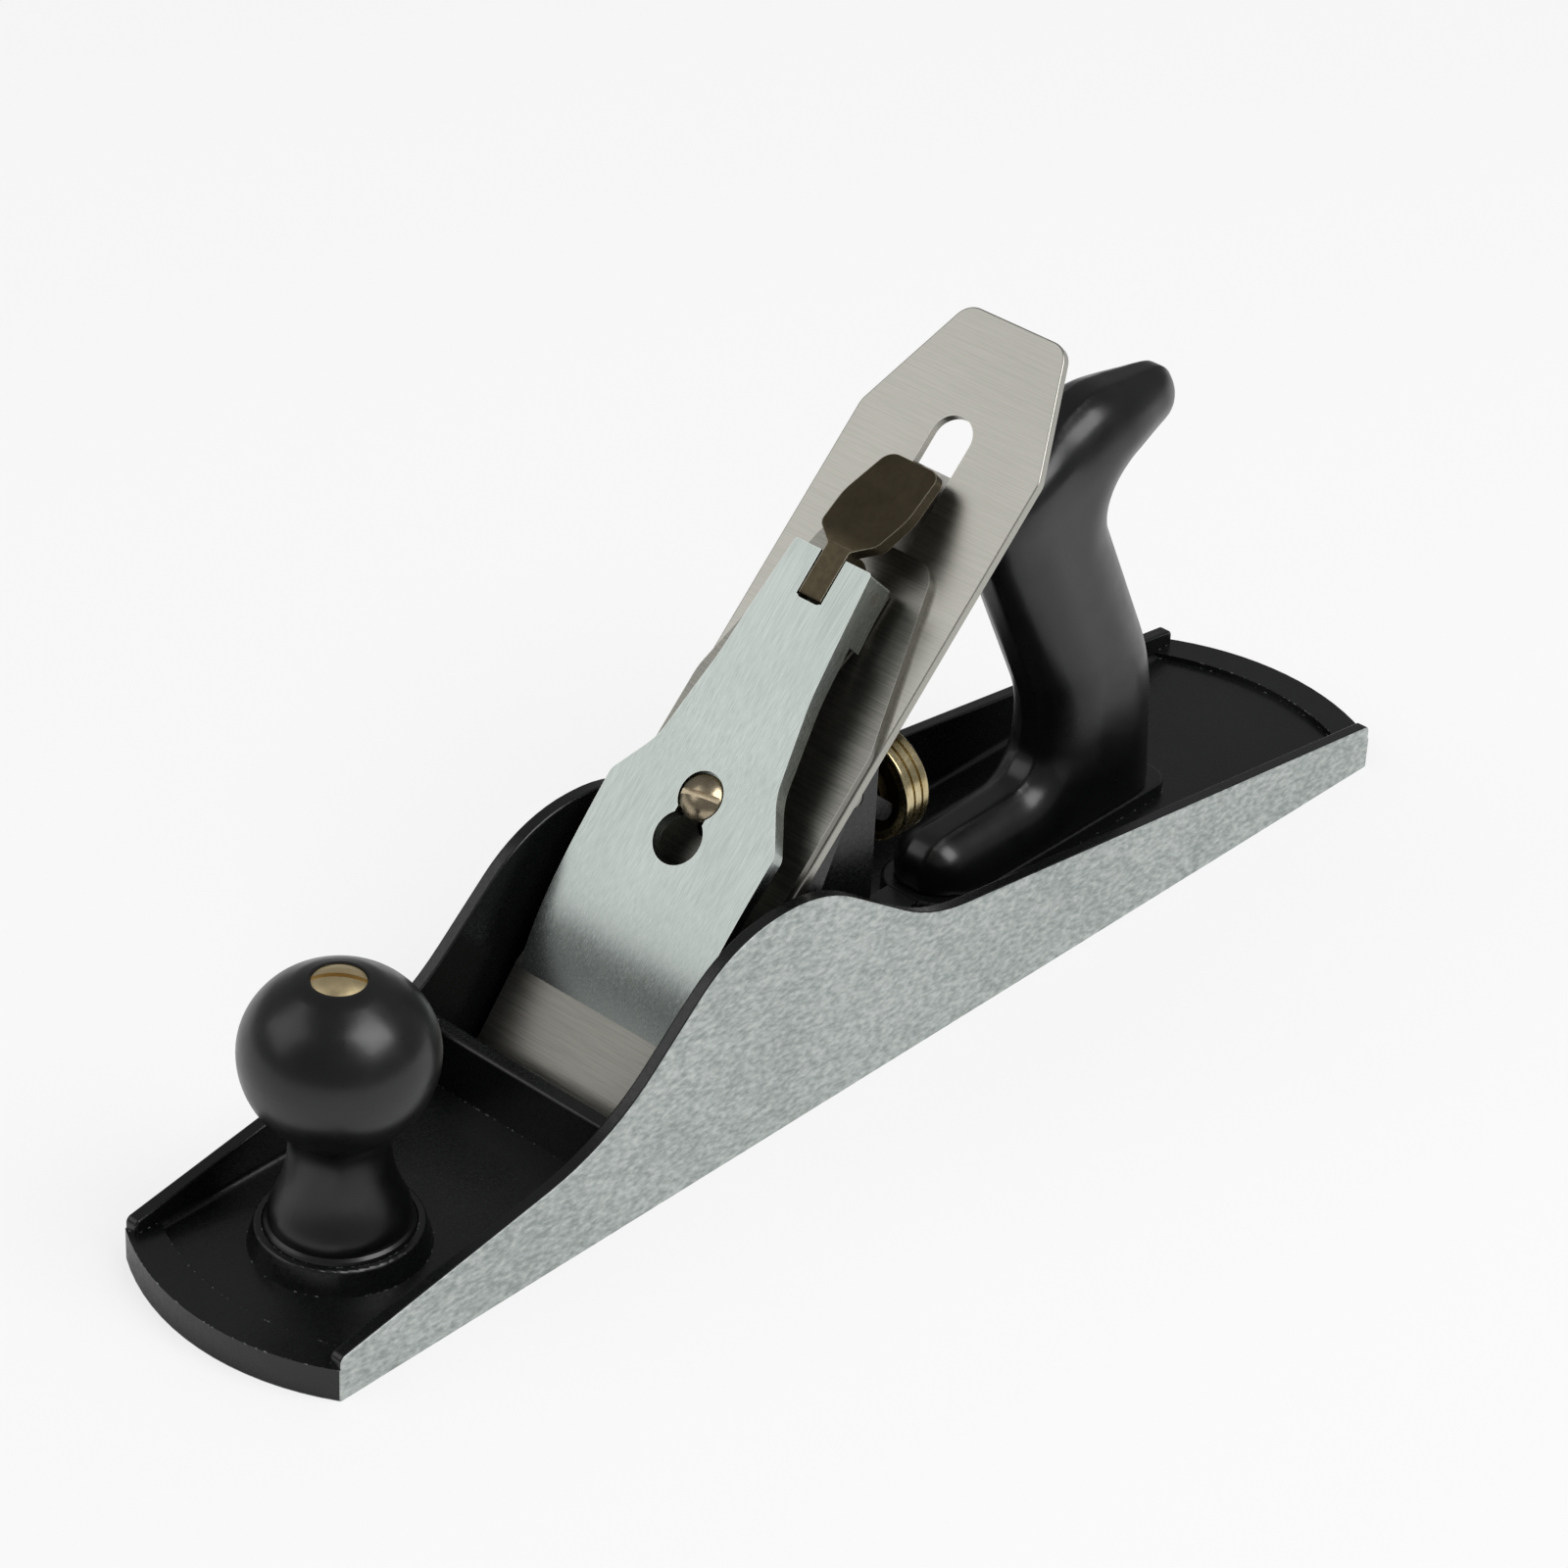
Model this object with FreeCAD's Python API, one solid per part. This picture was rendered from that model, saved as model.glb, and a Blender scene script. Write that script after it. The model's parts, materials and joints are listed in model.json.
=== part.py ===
import FreeCAD, Part
import math
import os

from FreeCAD import Placement, Rotation, Vector

# A metal bench plane of the Bailey pattern: 14 in long, 2 in iron, 45 degree bed.
# Frame: origin at the centre of the sole's underside, +X towards the toe,
# +Y towards the plane's left side, +Z up.  Millimetres throughout.
# "Bed" coordinates: s runs up the blade's slope from the sole, h stands square to it,
# and h = 0 is the upper, flat face of the iron.

# ---- Sole casting -----------------------------------------------------------
LENGTH = 355.0
WIDTH = 64.0
END_BULGE = 9.0            # how far the curved toe and heel pass the cheeks' ends
CHEEK_T = 3.3
FLOOR_T = 6.4
RIM_H = 7.8                # toe and heel rims, above the sole
RIM_BAND = 8.5
TOE_RAIL_H = 10.6
HEEL_RAIL_H = 11.4
RAIL_CORNER_R = 1.6
FRONT_KNEE_X, FRONT_KNEE_H, FRONT_KNEE_R = 92.8, 23.9, 60.0
CROWN_FRONT_X, CROWN_REAR_X, CROWN_H, CROWN_R = 56.0, 28.9, 57.0, 37.0
REAR_KNEE_X, REAR_KNEE_H, REAR_KNEE_R = -7.75, 32.5, 50.0
CHEEK_EDGE_R = 0.6
COVE_R = 1.6               # casting fillet where cheek meets floor
RIB_H = 19.0               # cross rib ahead of the mouth
RIB_FOOT_X, RIB_TOP_FRONT_X, RIB_TOP_REAR_X = 87.2, 85.2, 80.6
MOUTH_FRONT_X = 86.0
MOUTH_SIDE_GAP = 2.1       # iron edge to mouth end, each side
SEAT_H = 12.0              # frog seat
SEAT_REAR_X = -1.0
SEAT_SIDE_GAP = 3.4        # seat to cheek
SEAT_BEVEL_GAP = 1.09      # iron to the casting's own bevel, square to the bed
BOSS_R = 4.2               # adjusting-screw boss
SPINE_H, SPINE_HALF_W = 10.0, 4.5
SPINE_FRONT_X = -21.0
SPINE_END_GAP = 1.0        # spine to the foot of the rear handle

# ---- Bed and blade ----------------------------------------------------------
BED_ANGLE = 45.0
BED_X = 84.05              # where the iron's upper face would meet the sole
FLAT_GAP = 0.1             # between flat faces that slide on each other
IRON_SIDE_GAP = 3.3        # iron to cheek, each side
IRON_T = 2.2
IRON_TOP_S = 205.9
IRON_SHOULDER_S = 176.8
IRON_TOP_HALF_W = 13.9
IRON_CORNER_R = 5.0
EDGE_LIFT = 0.3            # cutting edge above the sole at rest
GRIND_ANGLE = 25.0
SLOT_HALF_W = 5.3
SLOT_TOP_S = 177.4
SLOT_HOLE_S, SLOT_HOLE_R = 70.0, 11.0
CUTTER_ADVANCE, CUTTER_RETRACT = 0.8, 2.0
FROG_FORWARD, FROG_BACK = 1.5, 1.0

CAP_IRON_T = 2.0
CAP_IRON_INSET = 0.4       # narrower than the iron, each side
CAP_IRON_SET_BACK = 1.2
CAP_IRON_TAPER_S, CAP_IRON_TOP_S, CAP_IRON_TOP_HALF_W = 108.5, 150.5, 14.8
HUMP_S, HUMP_H, HUMP_REAR_S = 34.0, 2.0, 46.0

CAP_SCREW_S = 105.5        # screw that clamps chip breaker to iron
CAP_SCREW_HEAD_R, CAP_SCREW_HEAD_H = 6.8, 3.0
HEAD_ROOM_GAP = 0.7        # frog's recess round that head, past its travel
CAP_SCREW_COLLAR_R, CAP_SCREW_THREAD_R = 4.9, 3.6
LEVER_SCREW_S = 83.3       # screw the lever cap hangs on
LEVER_SCREW_R, LEVER_SCREW_HEAD_R, LEVER_SCREW_DEPTH = 3.6, 5.2, 14.0
LEVER_SCREW_DOME_H = 2.6
YOKE_TIP_S = 92.5
YOKE_TIP_HALF_W, YOKE_TIP_T = 3.8, 2.6

# ---- Lever cap --------------------------------------------------------------
CAP_FRONT_S, CAP_TOP_S = 33.0, 141.5
CAP_LIP_TOP_H, CAP_LIP_UNDER_H = 4.95, 4.15
CAP_BEND_S, CAP_BEND_TOP_H, CAP_BEND_UNDER_H, CAP_BEND_R = 99.9, 14.7, 9.9, 480.0
CAP_END_TOP_H, CAP_END_UNDER_H = 15.5, 10.6
CAP_FRONT_INSET, CAP_SHOULDER_S, CAP_SHOULDER_INSET = 2.6, 79.5, 1.6   # inside the iron's edge
CAP_WAIST_S, CAP_WAIST_HALF_W = 90.5, 17.0
CAP_NECK_S, CAP_NECK_HALF_W, CAP_END_HALF_W = 112.0, 13.2, 10.8
KEYHOLE_S, KEYHOLE_R, KEYHOLE_SLOT_HALF_W = 73.3, 6.1, 3.95
SCREW_SEAT_R, SCREW_SEAT_DEPTH = 5.6, 1.9
FLANGE_S, FLANGE_T, FLANGE_H = 126.0, 2.6, 6.2
CAM_PIN_S, CAM_PIN_H, CAM_PIN_R = 137.5, 10.0, 1.6
CAM_HALF_W = 3.1
CAM_NOTCH_S = 130.3
CAM_SIDE_GAP = 0.4
CAM_FRONT_GAP, CAM_TOP_INSET = 0.9, 0.1
CAM_SWING_GAP = 0.3        # cap to the neck's front corner as the cam swings
CAM_DRUM_R = 6.4
PAD_START_S, PAD_WIDE_S, PAD_END_S = 144.0, 155.5, 168.8
PAD_WIDE_HALF_W, PAD_END_HALF_W = 9.1, 5.6
PAD_DROP = 8.9             # how far the thumb pad falls towards the iron
PAD_T = 3.0
SPRING_T, SPRING_HALF_W = 0.8, 9.0
SPRING_ROOT_S, SPRING_BEND_S, SPRING_FOOT_S, SPRING_END_S = 97.0, 110.0, 130.0, 140.5
SPRING_FOOT_H = 2.5
RIVET_R, RIVET_S = 1.8, 103.0

# ---- Frog -------------------------------------------------------------------
FROG_SIDE_INSET = 1.7      # narrower than the iron, each side
FROG_PLATE_T = 9.0
FROG_TAPER_S, FROG_TOP_S, FROG_TOP_HALF_W = 76.0, 138.0, 10.5
FROG_REAR_X = -4.5
FROG_FOOT_T = 6.0
FROG_WEB_HALF_W = 5.5
FROG_SIDE_WEB_IN, FROG_SIDE_WEB_OUT = 12.0, 16.5
FROG_POCKET_FRONT_X = 33.0
FROG_SCREW_X, FROG_SCREW_Y = 45.0, 12.0
FROG_SCREW_R, FROG_SCREW_HEAD_R, FROG_SCREW_HEAD_H = 3.0, 5.0, 4.0
WASHER_R, WASHER_T = 6.2, 1.2
RUN_GAP = 0.05             # radial running fit of shafts and threads
PIVOT_X, PIVOT_H = 2.0, 60.0
PIVOT_PIN_R, PIVOT_BARREL_R = 2.0, 4.2
FORK_IN, FORK_OUT = 7.7, 10.0
ADJUST_H = 14.2            # frog adjusting screw, above the sole
ADJUST_R, ADJUST_HEAD_R = 2.5, 5.4
CLIP_T, CLIP_HALF_W, CLIP_STUD_GAP = 1.6, 5.2, 6.0   # the clip ends this far below the stud
CLIP_SCREW_DROP, CLIP_SCREW_R = 7.0, 1.9

# ---- Depth wheel ------------------------------------------------------------
WHEEL_H = 46.0
WHEEL_R, WHEEL_REAR_X, WHEEL_T = 13.0, -27.0, 7.5
HUB_R, HUB_GROOVE_R, HUB_GROOVE_W, HUB_FLANGE_T = 7.2, 5.2, 3.2, 2.2
STUD_R, STUD_END_X, STUD_FRONT_X = 3.0, -32.0, 4.5
CLIP_TOP_H = WHEEL_H - STUD_R - CLIP_STUD_GAP
CLIP_SCREW_H = CLIP_TOP_H - CLIP_SCREW_DROP

# ---- Lateral lever ----------------------------------------------------------
LATERAL_PIVOT_S, DISC_S = 132.5, 126.0
LATERAL_T, LATERAL_END_S, LATERAL_HALF_W, LATERAL_TAIL_HALF_W = 2.0, 170.0, 6.5, 5.4
DISC_GAP = 0.12
RIVET_SHANK_R = 2.5

# ---- Handles ----------------------------------------------------------------
KNOB_X = 138.5
KNOB_BALL_R, KNOB_BALL_H, KNOB_CROWN_H = 20.7, 54.0, 18.4   # widest point, and the dome above it
KNOB_RIM_W = 0.7           # flat rim around the nut
KNOB_SLOT_TURN = 131.0     # the nut's slot, from +X
KNOB_NECK_R, KNOB_NECK_H = 10.7, 29.0
KNOB_BASE_R, KNOB_BASE_T = 15.6, 3.0
KNOB_SEAT_H, KNOB_BOSS_H = 9.4, 11.8
KNOB_BOSS_R, KNOB_BOSS_FOOT_R = 17.6, 19.5
ROD_R, ROD_GAP = 3.2, 0.35
ROD_ROOT_H = 2.6
NUT_R, NUT_T = 5.7, 9.0
KNOB_RIM_R = NUT_R + KNOB_RIM_W
KNOB_TOP_H = KNOB_BALL_H + KNOB_CROWN_H * math.sqrt(1 - (KNOB_RIM_R / KNOB_BALL_R) ** 2)
TOTE_SEAT_H = 9.8
TOTE_BASE_FRONT_X, TOTE_BASE_REAR_X = -38.0, -117.0
TOTE_GRIP_FRONT_X, TOTE_TOE_H = -77.0, 22.0
TOTE_CROWN_FRONT_X, TOTE_CROWN_H = -49.0, 120.5
TOTE_HORN_X, TOTE_THROAT_X = -120.5, -88.5
TOTE_HALF_T = 11.2
TOTE_EDGE_R = 7.0
TOTE_ROD_X, TOTE_ROD_LEAN = -103.0, 22.0
TOTE_NUT_DEPTH = 6.0
TOTE_BOSS_MARGIN = 2.4
TOE_PIN_X, TOE_PIN_R, TOE_PIN_H = -48.0, 2.4, 16.0   # hidden pin that stops the handle turning
PIN_TIP_GAP = 0.5          # blind hole past the pin's end

HALF = WIDTH / 2
SIDE_X = LENGTH / 2 - END_BULGE
INNER_Y = HALF - CHEEK_T
IRON_HALF_W = INNER_Y - IRON_SIDE_GAP
CAP_FRONT_HALF_W = IRON_HALF_W - CAP_FRONT_INSET
CAP_SHOULDER_HALF_W = IRON_HALF_W - CAP_SHOULDER_INSET
SPINE_REAR_X = TOTE_BASE_FRONT_X + SPINE_END_GAP
BED = math.radians(BED_ANGLE)
UP_SLOPE = Vector(-math.cos(BED), 0, math.sin(BED))
SQUARE = Vector(math.sin(BED), 0, math.cos(BED))
ACROSS = Vector(0, 1, 0)
UP = Vector(0, 0, 1)
BED_FACE_H = -IRON_T - FLAT_GAP
FROG_FLOOR_H = SEAT_H + FLAT_GAP
FROG_HALF_W = IRON_HALF_W - FROG_SIDE_INSET


# ---- Helpers ----------------------------------------------------------------
def bed_point(s, y, h):
    """A point given up the slope, across, and square to the blade."""
    return Vector(BED_X, y, 0) + UP_SLOPE * s + SQUARE * h


def level(z):
    return lambda x, y: Vector(x, y, z)


def side(y):
    return lambda x, z: Vector(x, y, z)


def bed_plan(h):
    return lambda s, y: bed_point(s, y, h)


def bed_side(y):
    return lambda s, h: bed_point(s, y, h)


def outline(corners, place):
    """A closed wire through (u, v, radius) corners; a radius rounds its corner."""
    points = [place(u, v) for u, v, radius in corners]
    starts, ends, arcs = [], [], []
    for i, (u, v, radius) in enumerate(corners):
        here = points[i]
        if not radius:
            starts.append(here)
            ends.append(here)
            arcs.append(None)
            continue
        back = (points[i - 1] - here).normalize()
        on = (points[(i + 1) % len(points)] - here).normalize()
        half = back.getAngle(on) / 2
        reach = radius / math.tan(half)
        inward = (back + on).normalize()
        centre = here + inward * (radius / math.sin(half))
        starts.append(here + back * reach)
        ends.append(here + on * reach)
        arcs.append(Part.Arc(starts[i], centre - inward * radius, ends[i]).toShape())
    edges = []
    for i, arc in enumerate(arcs):
        if arc:
            edges.append(arc)
        following = starts[(i + 1) % len(points)]
        if (following - ends[i]).Length > 1e-6:
            edges.append(Part.LineSegment(ends[i], following).toShape())
    return Part.Wire(edges)


def prism(corners, place, thrust):
    return Part.Face(outline(corners, place)).extrude(thrust)


def sharp(*corners):
    return [(u, v, 0) for u, v in corners]


def mirrored(corners):
    """Half outline (s, y >= 0) completed with its mirror image."""
    return corners + [(u, -v, radius) for u, v, radius in reversed(corners)]


def wall(corners, half_y):
    """A side-view outline pushed right across, from -half_y to +half_y."""
    return prism(corners, side(-half_y), ACROSS * (2 * half_y))


def slab(corners, low, high):
    """A plan outline in bed coordinates between two heights."""
    return prism(corners, bed_plan(low), SQUARE * (high - low))


def disc(centre, axis, radius, length):
    return Part.makeCylinder(radius, length, centre, axis)


def box(x0, x1, y0, y1, z0, z1):
    return Part.makeBox(x1 - x0, y1 - y0, z1 - z0, Vector(x0, y0, z0))


def obround(s0, s1, half_w):
    return [(s0 - half_w, half_w, half_w * 0.999), (s0 - half_w, -half_w, half_w * 0.999),
            (s1 + half_w, -half_w, half_w * 0.999), (s1 + half_w, half_w, half_w * 0.999)]


def join(*shapes):
    return shapes[0].fuse(list(shapes[1:])).removeSplitter()


def cut(shape, *tools):
    return shape.cut(list(tools))


def round_edges(shape, radius, wanted):
    return shape.makeFillet(radius, [edge for edge in shape.Edges if wanted(edge)])


def turned(profile, base, axis):
    """Solid of revolution from (radius, height) corners about base + axis."""
    face = Part.Face(outline(profile, lambda r, z: Vector(r, 0, z)))
    solid = face.revolve(Vector(), UP, 360)
    solid.Placement = Placement(base, Rotation(UP, axis))
    return solid


def screw_slot(centre, along, axis, width, depth, length):
    """A straight driver slot, cut down from centre against axis."""
    slot = Part.makeBox(length, width, 2 * depth, Vector(-length / 2, -width / 2, -depth))
    across = axis.cross(along)
    slot.Placement = Placement(FreeCAD.Matrix(along.x, across.x, axis.x, centre.x,
                                              along.y, across.y, axis.y, centre.y,
                                              along.z, across.z, axis.z, centre.z,
                                              0, 0, 0, 1))
    return slot


# ---- Sole casting -----------------------------------------------------------
def sole_outline():
    corners = [Vector(x, y, 0) for x in (SIDE_X, -SIDE_X) for y in (HALF, -HALF)]
    front_left, front_right, rear_left, rear_right = corners
    return Part.Wire([
        Part.Arc(front_right, Vector(SIDE_X + END_BULGE, 0, 0), front_left).toShape(),
        Part.LineSegment(front_left, rear_left).toShape(),
        Part.Arc(rear_left, Vector(-SIDE_X - END_BULGE, 0, 0), rear_right).toShape(),
        Part.LineSegment(rear_right, front_right).toShape()])


def rims():
    """Raised crescents along the toe and the heel."""
    block = Part.Face(sole_outline()).extrude(UP * RIM_H)
    toe, heel = block.copy(), block.copy()
    toe.translate(Vector(-RIM_BAND, 0, 0))
    heel.translate(Vector(RIM_BAND, 0, 0))
    return [block.cut(toe), block.cut(heel)]


def cheek_corners(low=0.0):
    return [(SIDE_X, low, 0), (SIDE_X, TOE_RAIL_H, RAIL_CORNER_R),
            (FRONT_KNEE_X, FRONT_KNEE_H, FRONT_KNEE_R),
            (CROWN_FRONT_X, CROWN_H, CROWN_R), (CROWN_REAR_X, CROWN_H, CROWN_R),
            (REAR_KNEE_X, REAR_KNEE_H, REAR_KNEE_R),
            (-SIDE_X, HEEL_RAIL_H, RAIL_CORNER_R), (-SIDE_X, low, 0)]


def cheek(sign):
    plate = prism(cheek_corners(), side(sign * HALF), ACROSS * (-sign * CHEEK_T))

    def on_top(edge):
        box_ = edge.BoundBox
        flat = box_.YMax - box_.YMin < 1e-6
        return flat and box_.ZMax > FLOOR_T + COVE_R and box_.XMax - box_.XMin > 1e-6
    return round_edges(plate, CHEEK_EDGE_R, on_top)


def cove(sign):
    """Casting fillet in the corner between floor and cheek."""
    corner_y = sign * INNER_Y
    length = 2 * SIDE_X - 2 * RAIL_CORNER_R
    strip = box(-length / 2, length / 2, min(corner_y, corner_y - sign * COVE_R),
                max(corner_y, corner_y - sign * COVE_R), FLOOR_T, FLOOR_T + COVE_R)
    hollow = disc(Vector(-length, corner_y - sign * COVE_R, FLOOR_T + COVE_R),
                  Vector(1, 0, 0), COVE_R, 2 * length)
    return strip.cut(hollow)


def rib_rear_x(z):
    """The throat's front face, which leans back from the mouth to the rib's top."""
    return MOUTH_FRONT_X + (RIB_TOP_REAR_X - MOUTH_FRONT_X) * z / RIB_H


def bevel_x(z):
    """The casting's bevel behind the mouth, parallel to the bed."""
    foot = bed_point(0, 0, -IRON_T - SEAT_BEVEL_GAP)
    return foot.x - (z - foot.z) / math.tan(BED)


def mouth():
    top = RIB_H + 1
    half = IRON_HALF_W + MOUTH_SIDE_GAP
    return wall(sharp((bevel_x(-1), -1), (rib_rear_x(-1), -1), (rib_rear_x(top), top),
                      (bevel_x(top), top)), half)


def seat():
    half = INNER_Y - SEAT_SIDE_GAP
    block = wall(sharp((SEAT_REAR_X, FLOOR_T - 1), (bevel_x(FLOOR_T - 1), FLOOR_T - 1),
                       (bevel_x(SEAT_H), SEAT_H), (SEAT_REAR_X, SEAT_H)), half)
    relief = box(FROG_POCKET_FRONT_X - 22, FROG_POCKET_FRONT_X, -half - 1, half + 1,
                 SEAT_H - 2.5, SEAT_H + 1)
    return block.cut(relief)


def adjust_boss():
    """Threaded boss for the frog adjusting screw, with a rounded top."""
    front, rear = 6.0, SEAT_REAR_X
    boss = disc(Vector(rear, 0, ADJUST_H), Vector(1, 0, 0), BOSS_R, front - rear)
    return boss.fuse(box(rear, front, -BOSS_R, BOSS_R, FLOOR_T - 1, ADJUST_H))


def spine():
    corners = [(SPINE_FRONT_X, FLOOR_T - 1, 0), (SPINE_FRONT_X - 1, SPINE_H, 1.5),
               (SPINE_REAR_X, SPINE_H, 1.5), (SPINE_REAR_X, FLOOR_T - 1, 0)]
    return wall(corners, SPINE_HALF_W)


def knob_boss():
    boss = Part.makeCone(KNOB_BOSS_FOOT_R, KNOB_BOSS_R, KNOB_BOSS_H - FLOOR_T + 1,
                         Vector(KNOB_X, 0, FLOOR_T - 1), UP)
    rim = round_edges(boss, 0.8, lambda e: e.BoundBox.ZMin > KNOB_BOSS_H - 0.01)
    seat_r = KNOB_BASE_R + 0.5
    return rim.cut(disc(Vector(KNOB_X, 0, KNOB_SEAT_H), UP, seat_r, KNOB_BOSS_H))


def tote_plan(margin):
    half = TOTE_HALF_T - 2.0 + margin
    front, rear = TOTE_BASE_FRONT_X + margin, TOTE_BASE_REAR_X - margin
    return [(front, half, half * 0.8), (front, -half, half * 0.8),
            (rear, -half, half * 0.55), (rear, half, half * 0.55)]


def tote_boss():
    pad = prism(tote_plan(TOTE_BOSS_MARGIN), level(FLOOR_T - 1), UP * (TOTE_SEAT_H - FLOOR_T + 1))
    return round_edges(pad, 0.9, lambda e: e.BoundBox.ZMin > TOTE_SEAT_H - 0.01)


def tote_axis():
    lean = math.radians(TOTE_ROD_LEAN)
    return Vector(math.sin(lean), 0, math.cos(lean))


def on_tote_rod(z):
    axis = tote_axis()
    return Vector(TOTE_ROD_X, 0, TOTE_SEAT_H) + axis * ((z - TOTE_SEAT_H) / axis.z)


def body():
    floor = Part.Face(sole_outline()).extrude(UP * FLOOR_T)
    rib = wall([(RIB_FOOT_X, FLOOR_T - 1, 0), (RIB_TOP_FRONT_X, RIB_H, 1.0),
                (RIB_TOP_REAR_X, RIB_H, 1.0), (rib_rear_x(FLOOR_T - 1), FLOOR_T - 1, 0)],
               INNER_Y + 0.5)
    casting = join(floor, *rims(), cheek(1), cheek(-1), cove(1), cove(-1), rib, seat(),
                   adjust_boss(), spine(), knob_boss(), tote_boss())
    threads = [disc(Vector(FROG_SCREW_X, y, ROD_ROOT_H), UP, FROG_SCREW_R + RUN_GAP, SEAT_H)
               for y in (-FROG_SCREW_Y, FROG_SCREW_Y)]
    threads.append(disc(Vector(SEAT_REAR_X - 1, 0, ADJUST_H), Vector(1, 0, 0),
                        ADJUST_R + RUN_GAP, 14))
    threads.append(disc(Vector(KNOB_X, 0, ROD_ROOT_H - 0.3), UP, ROD_R + RUN_GAP, SEAT_H))
    threads.append(disc(on_tote_rod(ROD_ROOT_H - 0.3), tote_axis(), ROD_R + RUN_GAP, SEAT_H))
    threads.append(disc(Vector(TOE_PIN_X, 0, ROD_ROOT_H - 0.3), UP, TOE_PIN_R + RUN_GAP, SEAT_H))
    return cut(casting, mouth(), *threads)


# ---- Frog and its hardware --------------------------------------------------
def frog_plan():
    return mirrored([(-20.0, FROG_HALF_W, 0), (FROG_TAPER_S, FROG_HALF_W, 12.0),
                     (FROG_TOP_S, FROG_TOP_HALF_W, 6.0)])


def bed_line_x(h, z):
    """X where a plane parallel to the bed, at height h, passes level z."""
    foot = bed_point(0, 0, h)
    return foot.x - (z - foot.z) / math.tan(BED)


def bed_line_z(h, x):
    foot = bed_point(0, 0, h)
    return foot.z - (x - foot.x) * math.tan(BED)


def stud_room():
    bore = STUD_R + RUN_GAP
    return disc(Vector(FROG_REAR_X - 1, 0, WHEEL_H), Vector(1, 0, 0), bore,
                STUD_FRONT_X + 2.5 - FROG_REAR_X + 1)


def yoke_room():
    """Space for the yoke's barrel, open to the rear, and for its upper arm."""
    room = PIVOT_BARREL_R + 0.8
    barrel = disc(Vector(PIVOT_X, -FORK_OUT - 0.6, PIVOT_H), ACROSS, room, 2 * FORK_OUT + 1.2)
    rear = box(FROG_REAR_X - 1, PIVOT_X, -FORK_OUT - 0.6, FORK_OUT + 0.6,
               PIVOT_H - room, PIVOT_H + room)
    low, high = YOKE_TIP_S - 4.2, YOKE_TIP_S + 12.5
    arm = prism(sharp((low, 1), (low, BED_FACE_H - FROG_PLATE_T * 0.5),
                      (low + 3.5, BED_FACE_H - FROG_PLATE_T - 7), (high, BED_FACE_H - FROG_PLATE_T - 4),
                      (YOKE_TIP_S + 6.4, BED_FACE_H - 2.5), (YOKE_TIP_S + 4.2, 1)),
                bed_side(-YOKE_TIP_HALF_W - 0.6), ACROSS * (2 * YOKE_TIP_HALF_W + 1.2))
    return [barrel, rear, arm]


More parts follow.
